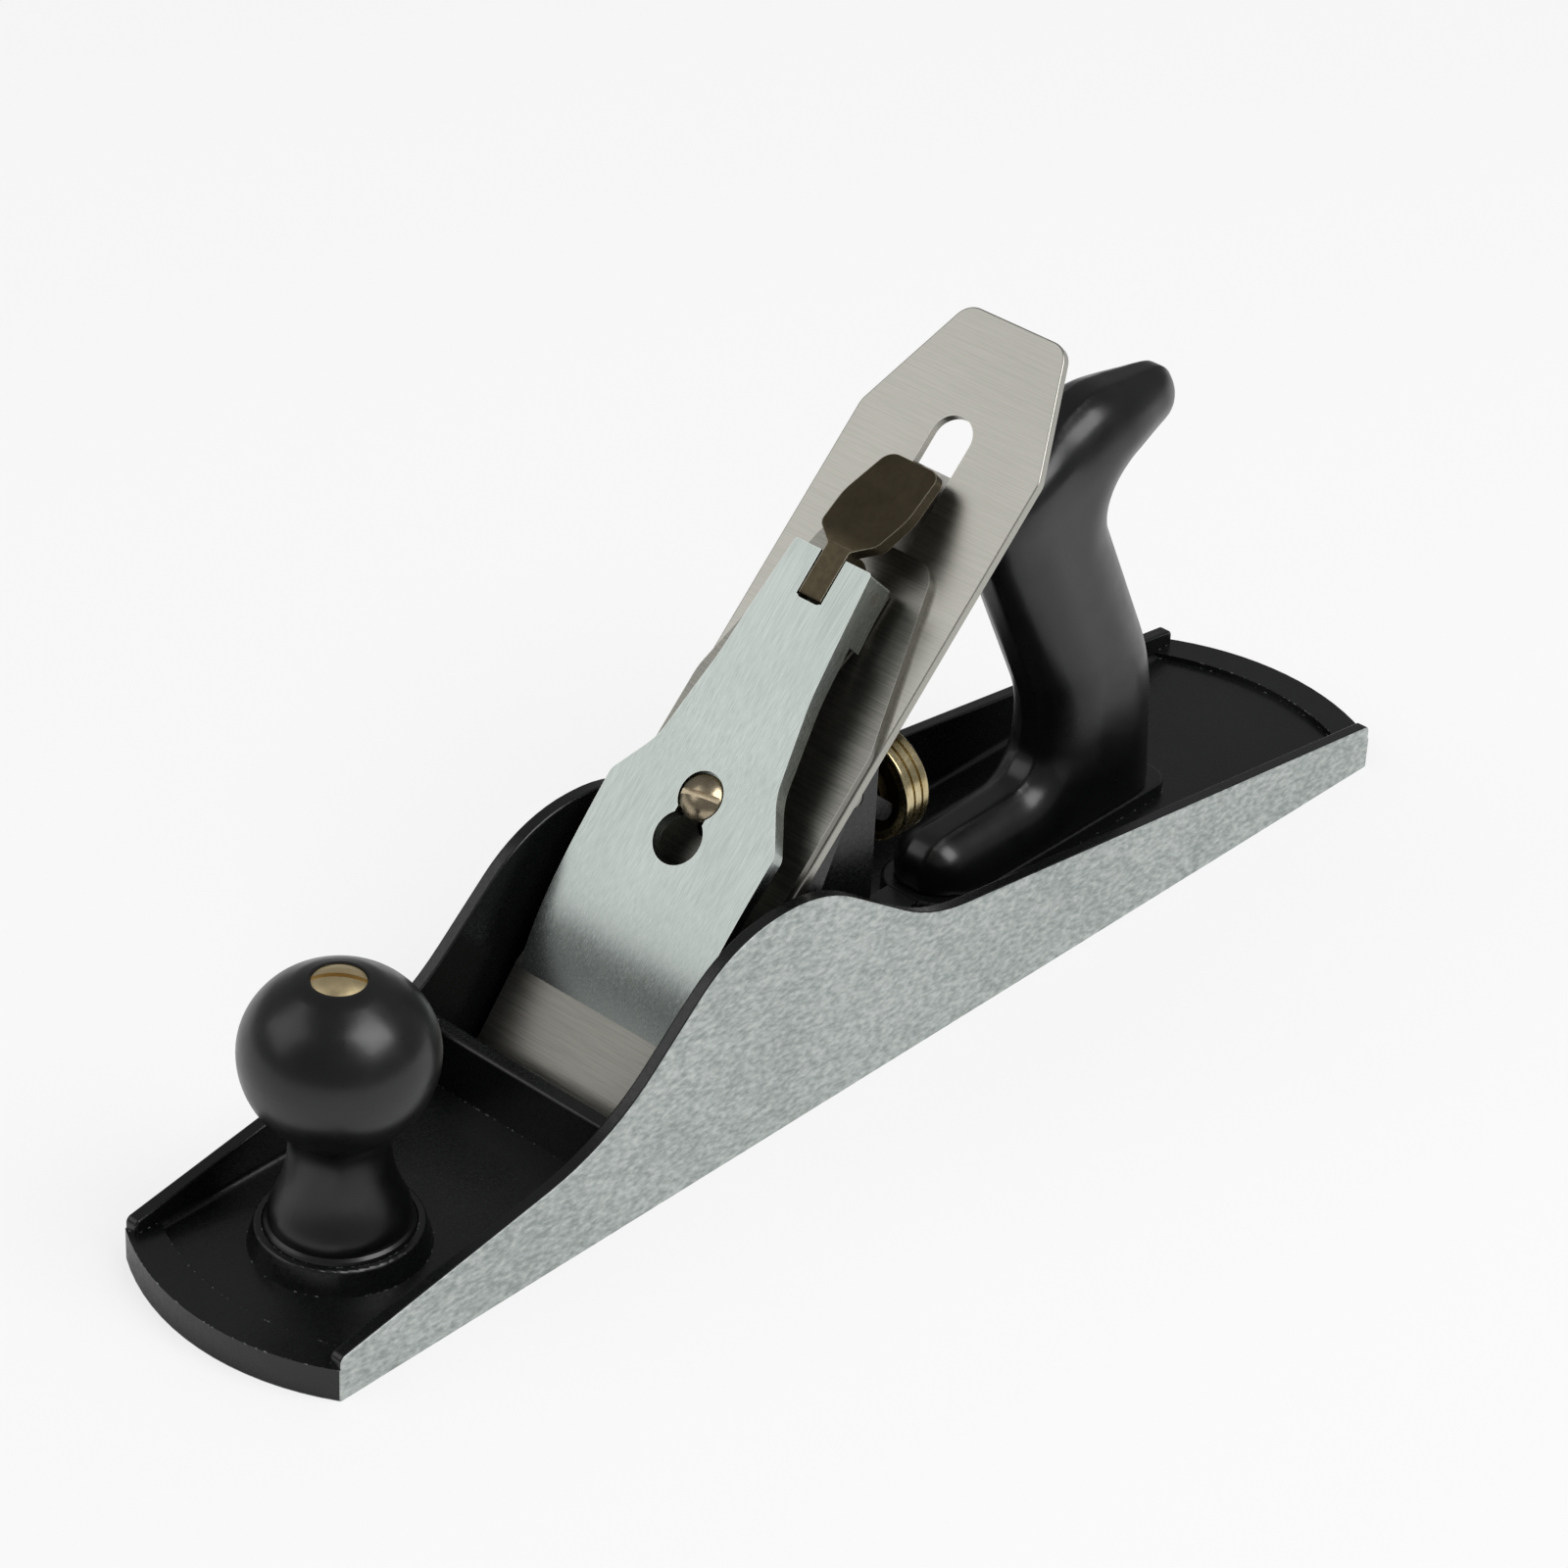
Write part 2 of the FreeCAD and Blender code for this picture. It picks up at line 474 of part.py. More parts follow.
def frog():
    base = FROG_FLOOR_H
    rear_top_z = bed_line_z(BED_FACE_H - FROG_PLATE_T, FROG_REAR_X)
    top, back = bed_point(FROG_TOP_S, 0, BED_FACE_H), bed_point(FROG_TOP_S, 0, BED_FACE_H - FROG_PLATE_T)
    wedge = wall(sharp((bed_line_x(BED_FACE_H, base), base), (top.x, top.z), (back.x, back.z),
                       (FROG_REAR_X, rear_top_z), (FROG_REAR_X, base)), FROG_HALF_W)
    wedge = wedge.common(slab(frog_plan(), -80.0, 5.0))
    foot_top = base + FROG_FOOT_T
    front_z = bed_line_z(BED_FACE_H - FROG_PLATE_T, FROG_POCKET_FRONT_X)
    pocket = sharp((FROG_REAR_X - 1, foot_top), (FROG_POCKET_FRONT_X, foot_top),
                   (FROG_POCKET_FRONT_X, front_z), (FROG_REAR_X - 1, rear_top_z + 1))
    hollows = []
    for sign in (-1, 1):
        for near, far in ((FROG_WEB_HALF_W, FROG_SIDE_WEB_IN), (FROG_SIDE_WEB_OUT, FROG_HALF_W + 1)):
            hollows.append(prism(pocket, side(sign * near), ACROSS * (sign * (far - near))))
        y = sign * FROG_SCREW_Y
        travel = FROG_FORWARD + FROG_BACK
        hollows.append(disc(Vector(FROG_SCREW_X, y, foot_top), UP, WASHER_R + travel + 0.3, 60))
        slot_x = FROG_SCREW_X - (FROG_FORWARD - FROG_BACK) / 2
        hollows.append(box(slot_x - FROG_SCREW_R - travel, slot_x + FROG_SCREW_R + travel,
                           y - FROG_SCREW_R - 0.4, y + FROG_SCREW_R + 0.4, base - 1, foot_top + 1))
    notch = box(FROG_REAR_X - 1, 6.0 + FROG_BACK + 1.0, -BOSS_R - 0.8, BOSS_R + 0.8,
                base - 1, ADJUST_H + BOSS_R + 0.5)
    tunnel = disc(Vector(0, 0, ADJUST_H), Vector(1, 0, 0), ADJUST_R + 0.6, 22)
    rear_step = box(FROG_REAR_X - 1, SEAT_REAR_X + 1, -FROG_HALF_W - 1, FROG_HALF_W + 1,
                    base - 1, ADJUST_H + BOSS_R + 0.5)
    head_room = slab(obround(CAP_SCREW_S - CUTTER_ADVANCE, CAP_SCREW_S + CUTTER_RETRACT,
                             CAP_SCREW_HEAD_R + HEAD_ROOM_GAP),
                     BED_FACE_H - CAP_SCREW_HEAD_H - 1.0, 2.0)
    lever_room = slab(sharp((DISC_S - 7.5, 12), (DISC_S - 7.5, -12), (FROG_TOP_S + 2, -12),
                            (FROG_TOP_S + 2, 12)), BED_FACE_H - LATERAL_T - FLAT_GAP, 2.0)
    lever_rivet = disc(bed_point(LATERAL_PIVOT_S, 0, BED_FACE_H - FROG_PLATE_T + 1), SQUARE,
                       RIVET_SHANK_R + RUN_GAP, 20)
    lever_screw = disc(bed_point(LEVER_SCREW_S, 0, -LEVER_SCREW_DEPTH - 0.3), SQUARE,
                       LEVER_SCREW_R + RUN_GAP, 40)
    pin = disc(Vector(PIVOT_X, -FROG_SIDE_WEB_OUT - 1, PIVOT_H), ACROSS, PIVOT_PIN_R + RUN_GAP,
               2 * FROG_SIDE_WEB_OUT + 2)
    clip_hole = disc(Vector(FROG_REAR_X - 1, 0, CLIP_SCREW_H), Vector(1, 0, 0),
                     CLIP_SCREW_R + RUN_GAP, 9)
    return cut(wedge, *hollows, notch, tunnel, rear_step, head_room, lever_room, lever_rivet,
               lever_screw, pin, clip_hole, stud_room(), *yoke_room())


def frog_screws():
    screws = []
    for y in (-FROG_SCREW_Y, FROG_SCREW_Y):
        under = FROG_FLOOR_H + FROG_FOOT_T + FLAT_GAP + WASHER_T
        root = Vector(FROG_SCREW_X, y, ROD_ROOT_H + 0.5)
        profile = [(0, 0, 0), (FROG_SCREW_R, 0, 0), (FROG_SCREW_R, under - root.z, 0),
                   (FROG_SCREW_HEAD_R, under - root.z, 0),
                   (FROG_SCREW_HEAD_R, under - root.z + FROG_SCREW_HEAD_H, 1.0),
                   (0, under - root.z + FROG_SCREW_HEAD_H, 0)]
        screw = turned(profile, root, UP)
        slot = screw_slot(Vector(FROG_SCREW_X, y, under + FROG_SCREW_HEAD_H), ACROSS, UP, 1.4, 1.8, 12)
        screws.append(screw.cut(slot))
    return Part.makeCompound(screws)


def frog_washers():
    rings = []
    for y in (-FROG_SCREW_Y, FROG_SCREW_Y):
        low = Vector(FROG_SCREW_X, y, FROG_FLOOR_H + FROG_FOOT_T + FLAT_GAP)
        ring = disc(low, UP, WASHER_R, WASHER_T - 0.02)
        rings.append(ring.cut(disc(low, UP, FROG_SCREW_R + RUN_GAP, WASHER_T)))
    return Part.makeCompound(rings)


def adjust_groove_x():
    return FROG_REAR_X - CLIP_T / 2


def frog_adjusting_screw():
    """Shank in the casting's boss, a waist that the clip holds, and a slotted head."""
    collar_front = adjust_groove_x() + CLIP_T / 2 + FLAT_GAP
    collar_rear = adjust_groove_x() - CLIP_T / 2 - FLAT_GAP
    head_rear = collar_rear - 5.0
    tip = 9.0 - head_rear
    profile = [(0, 0, 0), (ADJUST_HEAD_R, 0, 0.8), (ADJUST_HEAD_R, collar_rear - head_rear, 0),
               (ADJUST_R, collar_rear - head_rear, 0), (ADJUST_R, tip, 0.6), (0, tip, 0)]
    screw = turned(profile, Vector(head_rear, 0, ADJUST_H), Vector(1, 0, 0))
    collar = disc(Vector(collar_front, 0, ADJUST_H), Vector(1, 0, 0), ADJUST_R + 1.2, 1.0)
    slot = screw_slot(Vector(head_rear, 0, ADJUST_H), ACROSS, Vector(-1, 0, 0), 1.3, 2.0, 14)
    return cut(join(screw, collar), slot)


def frog_clip():
    """A flat clip on the frog's rear whose fork holds the adjusting screw."""
    low = ADJUST_H - 2.0
    plate = prism([(-CLIP_HALF_W, low, 1.0), (CLIP_HALF_W, low, 1.0), (CLIP_HALF_W, CLIP_TOP_H, 2.5),
                   (-CLIP_HALF_W, CLIP_TOP_H, 2.5)],
                  lambda y, z: Vector(FROG_REAR_X - 0.05, y, z), Vector(-CLIP_T, 0, 0))
    mouth_r = ADJUST_R + 0.15
    throat = disc(Vector(FROG_REAR_X + 1, 0, ADJUST_H), Vector(-1, 0, 0), mouth_r, CLIP_T + 3)
    opening = box(FROG_REAR_X - CLIP_T - 1, FROG_REAR_X + 1, -mouth_r, mouth_r, low - 1, ADJUST_H)
    hole = disc(Vector(FROG_REAR_X + 1, 0, CLIP_SCREW_H), Vector(-1, 0, 0), CLIP_SCREW_R + RUN_GAP,
                CLIP_T + 3)
    return cut(plate, throat, opening, hole)


def frog_clip_screw():
    head = 2.2
    profile = [(0, 0, 0), (3.4, 0, 0.9), (3.4, head, 0), (CLIP_SCREW_R, head, 0),
               (CLIP_SCREW_R, head + CLIP_T + 7, 0), (0, head + CLIP_T + 7, 0)]
    rear = FROG_REAR_X - CLIP_T - 0.07 - head
    screw = turned(profile, Vector(rear, 0, CLIP_SCREW_H), Vector(1, 0, 0))
    slot = screw_slot(Vector(rear, 0, CLIP_SCREW_H), ACROSS, Vector(-1, 0, 0), 0.9, 1.0, 9)
    return screw.cut(slot)


# ---- Depth adjustment -------------------------------------------------------
def groove_x():
    return WHEEL_REAR_X + WHEEL_T + HUB_GROOVE_W / 2 + 2.2


def yoke():
    barrel = disc(Vector(PIVOT_X, -FORK_OUT, PIVOT_H), ACROSS, PIVOT_BARREL_R, 2 * FORK_OUT)
    tip = bed_point(YOKE_TIP_S, 0, CAP_IRON_T - 0.7)
    arm_way = Vector(tip.x - PIVOT_X, 0, tip.z - PIVOT_H)
    normal = Vector(-arm_way.z, 0, arm_way.x).normalize() * (YOKE_TIP_T / 2)
    foot = Vector(PIVOT_X, 0, PIVOT_H)
    corners = [foot + normal, tip + normal, tip - normal, foot - normal]
    arm = wall([(p.x, p.z, r) for p, r in zip(corners, (0, 0.8, 0.8, 0))], YOKE_TIP_HALF_W)
    pieces = [barrel, arm]
    fork_end = Vector(groove_x(), 0, WHEEL_H)
    way = (fork_end - foot).normalize()
    aside = Vector(-way.z, 0, way.x)
    for sign in (-1, 1):
        limb = [foot + aside * 3.2, fork_end + aside * 2.2, fork_end - aside * 2.2, foot - aside * 3.2]
        pieces.append(prism([(p.x, p.z, 0) for p in limb], side(sign * FORK_IN),
                            ACROSS * (sign * (FORK_OUT - FORK_IN))))
        pieces.append(disc(Vector(fork_end.x, sign * FORK_IN, WHEEL_H), ACROSS * sign, 2.2,
                           FORK_OUT - FORK_IN))
        pieces.append(disc(Vector(fork_end.x, sign * (HUB_GROOVE_R + 0.35), WHEEL_H), ACROSS * sign,
                           HUB_GROOVE_W / 2 - 0.3, FORK_IN - HUB_GROOVE_R))
    return cut(join(*pieces), disc(Vector(PIVOT_X, -30, PIVOT_H), ACROSS, PIVOT_PIN_R + RUN_GAP, 60))


def yoke_pin():
    half = FROG_SIDE_WEB_OUT - 0.2
    return disc(Vector(PIVOT_X, -half, PIVOT_H), ACROSS, PIVOT_PIN_R, 2 * half)


def depth_stud():
    length = STUD_FRONT_X - STUD_END_X
    profile = [(0, 0, 0), (STUD_R, 0, 1.2), (STUD_R, length, 0.5), (0, length, 0)]
    return turned(profile, Vector(STUD_END_X, 0, WHEEL_H), Vector(1, 0, 0))


def depth_wheel():
    """Grooved rim, dished rear face, and a hub with the groove that the yoke rides in."""
    bore = STUD_R + RUN_GAP
    hub_end = groove_x() + HUB_GROOVE_W / 2 + HUB_FLANGE_T - WHEEL_REAR_X
    groove_low = groove_x() - HUB_GROOVE_W / 2 - WHEEL_REAR_X
    profile = [(bore, 1.0, 0), (HUB_R, 1.0, 0), (HUB_R + 0.6, 2.2, 0), (WHEEL_R - 2.6, 2.2, 0),
               (WHEEL_R - 2.0, 0, 0), (WHEEL_R, 0, 0.6)]
    band, groove_w, groove_d = WHEEL_T / 3, 0.7, 0.9
    for i in (1, 2):
        mid = band * i
        profile += [(WHEEL_R, mid - groove_w / 2, 0), (WHEEL_R - groove_d, mid - groove_w / 2, 0),
                    (WHEEL_R - groove_d, mid + groove_w / 2, 0), (WHEEL_R, mid + groove_w / 2, 0)]
    profile += [(WHEEL_R, WHEEL_T, 0.6), (HUB_R, WHEEL_T, 0), (HUB_R, groove_low, 0),
                (HUB_GROOVE_R, groove_low, 0), (HUB_GROOVE_R, groove_low + HUB_GROOVE_W, 0),
                (HUB_R, groove_low + HUB_GROOVE_W, 0), (HUB_R, hub_end, 0.5), (bore, hub_end, 0)]
    return turned(profile, Vector(WHEEL_REAR_X, 0, WHEEL_H), Vector(1, 0, 0))


# ---- Lateral adjustment -----------------------------------------------------
def lateral_lever():
    under = BED_FACE_H - LATERAL_T
    plan = mirrored([(DISC_S - 6.0, LATERAL_HALF_W, 5.0), (FROG_TOP_S, LATERAL_HALF_W, 8.0),
                     (FROG_TOP_S + 8, LATERAL_TAIL_HALF_W, 8.0), (LATERAL_END_S, LATERAL_TAIL_HALF_W, 0)])
    blade = slab(plan, under, BED_FACE_H)
    tab = slab(sharp((LATERAL_END_S - LATERAL_T, LATERAL_TAIL_HALF_W + 2),
                     (LATERAL_END_S - LATERAL_T, -LATERAL_TAIL_HALF_W - 2),
                     (LATERAL_END_S, -LATERAL_TAIL_HALF_W - 2), (LATERAL_END_S, LATERAL_TAIL_HALF_W + 2)),
               under - 9.0, under + LATERAL_T * 0.5)
    rivet_hole = disc(bed_point(LATERAL_PIVOT_S, 0, under - 5), SQUARE, RIVET_SHANK_R + RUN_GAP, 20)
    disc_hole = disc(bed_point(DISC_S, 0, under - 5), SQUARE, 1.5, 20)
    return cut(join(blade, tab), rivet_hole, disc_hole)


def lateral_rivet():
    low = BED_FACE_H - FROG_PLATE_T + 1.2
    return disc(bed_point(LATERAL_PIVOT_S, 0, low), SQUARE, RIVET_SHANK_R, BED_FACE_H - low)


def lateral_disc():
    """The roller that turns in the iron's slot, on its own short stem."""
    low = BED_FACE_H - LATERAL_T
    stem = disc(bed_point(DISC_S, 0, low), SQUARE, 1.45, LATERAL_T + 0.1)
    roller = disc(bed_point(DISC_S, 0, BED_FACE_H + 0.05), SQUARE, SLOT_HALF_W - DISC_GAP, IRON_T - 0.3)
    return join(stem, roller)


# ---- Blade ------------------------------------------------------------------
def iron_edge_s():
    return EDGE_LIFT / UP_SLOPE.z


def cutting_iron():
    edge = iron_edge_s()
    heel = edge + IRON_T / math.tan(math.radians(GRIND_ANGLE))
    section = sharp((edge, 0), (IRON_TOP_S, 0), (IRON_TOP_S, -IRON_T), (heel, -IRON_T))
    blank = prism(section, bed_side(-IRON_HALF_W), ACROSS * (2 * IRON_HALF_W))
    plan = mirrored([(-5.0, IRON_HALF_W, 0), (IRON_SHOULDER_S, IRON_HALF_W, IRON_CORNER_R),
                     (IRON_TOP_S, IRON_TOP_HALF_W, IRON_CORNER_R)])
    blank = blank.common(slab(plan, -IRON_T - 1, 1))
    slot = slab(obround(SLOT_HOLE_S, SLOT_TOP_S, SLOT_HALF_W), -IRON_T - 1, 1)
    hole = disc(bed_point(SLOT_HOLE_S, 0, -IRON_T - 1), SQUARE, SLOT_HOLE_R, IRON_T + 2)
    blade = cut(blank, slot, hole)

    def top_rim(e):
        middle = e.valueAt((e.FirstParameter + e.LastParameter) / 2) - Vector(BED_X, 0, 0)
        return abs(middle.dot(SQUARE)) < 1e-4 and middle.dot(UP_SLOPE) > 60 \
            and abs(middle.y) > SLOT_HOLE_R + 1
    return round_edges(blade, 0.35, top_rim)


def chip_breaker():
    low = 0.05
    section = [(iron_edge_s() + CAP_IRON_SET_BACK, low, 0),
               (HUMP_S, low + CAP_IRON_T + HUMP_H, 4.0), (HUMP_REAR_S, low + CAP_IRON_T, 10.0),
               (CAP_IRON_TOP_S, low + CAP_IRON_T, 0), (CAP_IRON_TOP_S, low, 0),
               (HUMP_REAR_S, low, 10.0), (HUMP_S, low + HUMP_H, 4.0)]
    half = IRON_HALF_W - CAP_IRON_INSET
    sheet = prism(section, bed_side(-half), ACROSS * (2 * half))
    plan = mirrored([(-5.0, half, 0), (CAP_IRON_TAPER_S, half, 14.0),
                     (CAP_IRON_TOP_S, CAP_IRON_TOP_HALF_W, 6.0)])
    sheet = sheet.common(slab(plan, -1, 20))
    screw_way = slab(obround(LEVER_SCREW_S - CUTTER_ADVANCE - 1.5, LEVER_SCREW_S + 1.5,
                             LEVER_SCREW_R + 1.2), -1, 5)
    tip_way = slab(sharp((YOKE_TIP_S - YOKE_TIP_T / 2 - 0.9, YOKE_TIP_HALF_W + 0.6),
                         (YOKE_TIP_S - YOKE_TIP_T / 2 - 0.9, -YOKE_TIP_HALF_W - 0.6),
                         (YOKE_TIP_S + YOKE_TIP_T / 2 + 0.9, -YOKE_TIP_HALF_W - 0.6),
                         (YOKE_TIP_S + YOKE_TIP_T / 2 + 0.9, YOKE_TIP_HALF_W + 0.6)), -1, 5)
    tapped = disc(bed_point(CAP_SCREW_S, 0, -1), SQUARE, CAP_SCREW_THREAD_R + RUN_GAP, 6)
    return cut(sheet, screw_way, tip_way, tapped)


def cap_iron_screw():
    """Flat head under the iron, collar in its slot, thread in the chip breaker."""
    head_low = -IRON_T - 0.05 - CAP_SCREW_HEAD_H
    profile = [(0, 0, 0), (CAP_SCREW_HEAD_R, 0, 0.8), (CAP_SCREW_HEAD_R, CAP_SCREW_HEAD_H, 0),
               (CAP_SCREW_COLLAR_R, CAP_SCREW_HEAD_H, 0),
               (CAP_SCREW_COLLAR_R, CAP_SCREW_HEAD_H + IRON_T - 0.05, 0),
               (CAP_SCREW_THREAD_R, CAP_SCREW_HEAD_H + IRON_T - 0.05, 0),
               (CAP_SCREW_THREAD_R, CAP_SCREW_HEAD_H + IRON_T + CAP_IRON_T + 0.8, 0.6),
               (0, CAP_SCREW_HEAD_H + IRON_T + CAP_IRON_T + 0.8, 0)]
    screw = turned(profile, bed_point(CAP_SCREW_S, 0, head_low), SQUARE)
    slot = screw_slot(bed_point(CAP_SCREW_S, 0, head_low), ACROSS, SQUARE * -1, 1.6, 1.4, 16)
    return screw.cut(slot)


# ---- Lever cap --------------------------------------------------------------
def cap_top_h(s):
    """Height of the lever cap's face where it runs straight, below the bend."""
    rise = (CAP_BEND_TOP_H - CAP_LIP_TOP_H) / (CAP_BEND_S - CAP_FRONT_S)
    return CAP_LIP_TOP_H + rise * (s - CAP_FRONT_S)


def cam_top_h():
    return CAP_END_TOP_H - CAM_TOP_INSET


def cam_swing_room():
    """Undercut of the cap's notch that the neck's front corner sweeps through."""
    reach = math.hypot(CAM_PIN_S - CAM_NOTCH_S - CAM_FRONT_GAP, cam_top_h() - CAM_PIN_H)
    half = CAM_HALF_W + CAM_SIDE_GAP
    return disc(bed_point(CAM_PIN_S, -half, CAM_PIN_H), ACROSS, reach + CAM_SWING_GAP, 2 * half)


def lever_cap():
    section = [(CAP_FRONT_S, CAP_LIP_UNDER_H, 0), (CAP_FRONT_S, CAP_LIP_TOP_H, 0),
               (CAP_BEND_S, CAP_BEND_TOP_H, CAP_BEND_R), (CAP_TOP_S, CAP_END_TOP_H, 0),
               (CAP_TOP_S, CAP_END_UNDER_H, 0), (CAP_BEND_S, CAP_BEND_UNDER_H, CAP_BEND_R)]
    half = CAP_SHOULDER_HALF_W + 1
    plate = prism(section, bed_side(-half), ACROSS * (2 * half))
    plan = mirrored([(CAP_FRONT_S - 5, CAP_FRONT_HALF_W, 0),
                     (CAP_SHOULDER_S, CAP_SHOULDER_HALF_W, 4.0), (CAP_WAIST_S, CAP_WAIST_HALF_W, 16.0),
                     (CAP_NECK_S, CAP_NECK_HALF_W, 60.0), (CAP_TOP_S, CAP_END_HALF_W, 0.8)])
    plate = plate.common(slab(plan, 0, 30))
    flange_zone = slab(sharp((FLANGE_S, 30), (FLANGE_S, -30), (CAP_TOP_S, -30), (CAP_TOP_S, 30)),
                       FLANGE_H, CAP_END_UNDER_H + 1)
    inner = [(s, max(w - FLANGE_T, 0), r) for s, w, r in
             [(CAP_NECK_S - 20, CAP_NECK_HALF_W + 1.8, 0), (CAP_TOP_S + 20, CAP_END_HALF_W - 1.8, 0)]]
    flanges = slab(plan, FLANGE_H, CAP_END_UNDER_H + 1).common(flange_zone)
    flanges = flanges.cut(slab(mirrored(inner), 0, 30))
    notch = slab([(CAM_NOTCH_S, CAM_HALF_W + CAM_SIDE_GAP, 1.4),
                  (CAM_NOTCH_S, -CAM_HALF_W - CAM_SIDE_GAP, 1.4),
                  (CAP_TOP_S + 9, -CAM_HALF_W - CAM_SIDE_GAP, 0),
                  (CAP_TOP_S + 9, CAM_HALF_W + CAM_SIDE_GAP, 0)], 0, 30)
    keyhole = disc(bed_point(KEYHOLE_S, 0, 0), SQUARE, KEYHOLE_R, 30)
    slot = slab(obround(KEYHOLE_S, LEVER_SCREW_S, KEYHOLE_SLOT_HALF_W), 0, 30)
    seat_h = cap_top_h(LEVER_SCREW_S) - SCREW_SEAT_DEPTH
    screw_seat = disc(bed_point(LEVER_SCREW_S, 0, seat_h), SQUARE, SCREW_SEAT_R, 20)
    rivet_hole = disc(bed_point(RIVET_S, 0, 0), SQUARE, RIVET_R + RUN_GAP, CAP_BEND_UNDER_H + 2.5)
    pin_hole = disc(bed_point(CAM_PIN_S, -30, CAM_PIN_H), ACROSS, CAM_PIN_R + RUN_GAP, 60)
    return cut(join(plate, flanges), notch, cam_swing_room(), keyhole, slot, screw_seat, rivet_hole,
               pin_hole)


def lever_cap_screw():
    """Domed, slotted head in the cap's seat, shank down into the frog."""
    seat_h = cap_top_h(LEVER_SCREW_S) - SCREW_SEAT_DEPTH + 0.05
    root = -LEVER_SCREW_DEPTH
    crown = seat_h - root + 1.6
    shank = disc(bed_point(LEVER_SCREW_S, 0, root), SQUARE, LEVER_SCREW_R, seat_h - root)
    drum = disc(bed_point(LEVER_SCREW_S, 0, seat_h), SQUARE, LEVER_SCREW_HEAD_R, 1.6 + LEVER_SCREW_DOME_H)
    ball_r = (LEVER_SCREW_HEAD_R ** 2 + LEVER_SCREW_DOME_H ** 2) / (2 * LEVER_SCREW_DOME_H)
    ball = Part.makeSphere(ball_r, bed_point(LEVER_SCREW_S, 0, root + crown + LEVER_SCREW_DOME_H - ball_r))
    head = drum.common(ball)
    along = (ACROSS + UP_SLOPE * 0.18).normalize()
    slot = screw_slot(bed_point(LEVER_SCREW_S, 0, root + crown + LEVER_SCREW_DOME_H), along, SQUARE,
                      1.3, 2.2, 14)
    return cut(join(shank, head), slot)


def cam_pin():
    half = CAP_END_HALF_W + (CAP_TOP_S - CAM_PIN_S) * 0.08
    return disc(bed_point(CAM_PIN_S, -half, CAM_PIN_H), ACROSS, CAM_PIN_R, 2 * half)


def lever_cap_cam():
    """Drum on the pin, neck in the cap's notch, and a thumb pad that dips to the iron."""
    top_h = cam_top_h()
    drum = disc(bed_point(CAM_PIN_S, -CAM_HALF_W, CAM_PIN_H), ACROSS, CAM_DRUM_R, 2 * CAM_HALF_W)
    drum = drum.common(slab(sharp((100, 30), (100, -30), (200, -30), (200, 30)), -5, top_h))
    neck_front = CAM_NOTCH_S + CAM_FRONT_GAP
    neck = prism([(neck_front, top_h, 0.5), (PAD_START_S, top_h, 0), (PAD_START_S, top_h - 4.2, 0),
                  (neck_front, top_h - 2.8, 0.5)], bed_side(-CAM_HALF_W), ACROSS * (2 * CAM_HALF_W))
    end_h = top_h - PAD_DROP
    sheet = prism([(PAD_START_S - 3, top_h, 0), (PAD_START_S + 1.5, top_h, 12.0), (PAD_END_S, end_h, 0),
                   (PAD_END_S, end_h - PAD_T, 0), (PAD_START_S + 1.0, top_h - PAD_T - 0.8, 9.0),
                   (PAD_START_S - 3, top_h - PAD_T - 0.8, 0)], bed_side(-12), ACROSS * 24)
    plan = mirrored([(PAD_START_S - 3, CAM_HALF_W, 0), (PAD_START_S - 0.6, CAM_HALF_W, 1.2),
                     (PAD_START_S + 3.0, PAD_WIDE_HALF_W - 1.2, 3.0), (PAD_WIDE_S, PAD_WIDE_HALF_W, 14.0),
                     (PAD_END_S - 0.5, PAD_END_HALF_W + 1.6, 3.2)])
    pad = sheet.common(slab(plan, -5, 30))
    cam = join(drum, neck, pad)
    return cam.cut(disc(bed_point(CAM_PIN_S, -20, CAM_PIN_H), ACROSS, CAM_PIN_R + RUN_GAP, 40))


def cap_under_h(s):
    rise = (CAP_BEND_UNDER_H - CAP_LIP_UNDER_H) / (CAP_BEND_S - CAP_FRONT_S)
    return CAP_LIP_UNDER_H + rise * (s - CAP_FRONT_S)


def lever_cap_spring():
    """Leaf riveted under the cap, bent down to lie just over the chip breaker."""
    root_h = cap_under_h(SPRING_ROOT_S) - SPRING_T - 0.75
    bend_h = root_h
    section = [(SPRING_ROOT_S, root_h, 0), (SPRING_BEND_S, bend_h, 5.0),
               (SPRING_FOOT_S, SPRING_FOOT_H, 5.0), (SPRING_END_S, SPRING_FOOT_H, 0),
               (SPRING_END_S, SPRING_FOOT_H + SPRING_T, 0),
               (SPRING_FOOT_S, SPRING_FOOT_H + SPRING_T, 5.0),
               (SPRING_BEND_S, bend_h + SPRING_T, 5.0), (SPRING_ROOT_S, root_h + SPRING_T, 0)]
    leaf = prism(section, bed_side(-SPRING_HALF_W), ACROSS * (2 * SPRING_HALF_W))
    return leaf.cut(disc(bed_point(RIVET_S, 0, 0), SQUARE, RIVET_R + RUN_GAP, 30))


def spring_rivet():
    root_h = cap_under_h(SPRING_ROOT_S) - SPRING_T - 0.75
    shank = disc(bed_point(RIVET_S, 0, root_h - 0.05), SQUARE, RIVET_R, CAP_BEND_UNDER_H + 2.3 - root_h)
    head = disc(bed_point(RIVET_S, 0, root_h - 1.3), SQUARE, RIVET_R + 1.6, 1.25)
    return join(shank, head)


# ---- Handles ----------------------------------------------------------------
def arc_edge(a, b, c):
    return Part.Arc(a, b, c).toShape()


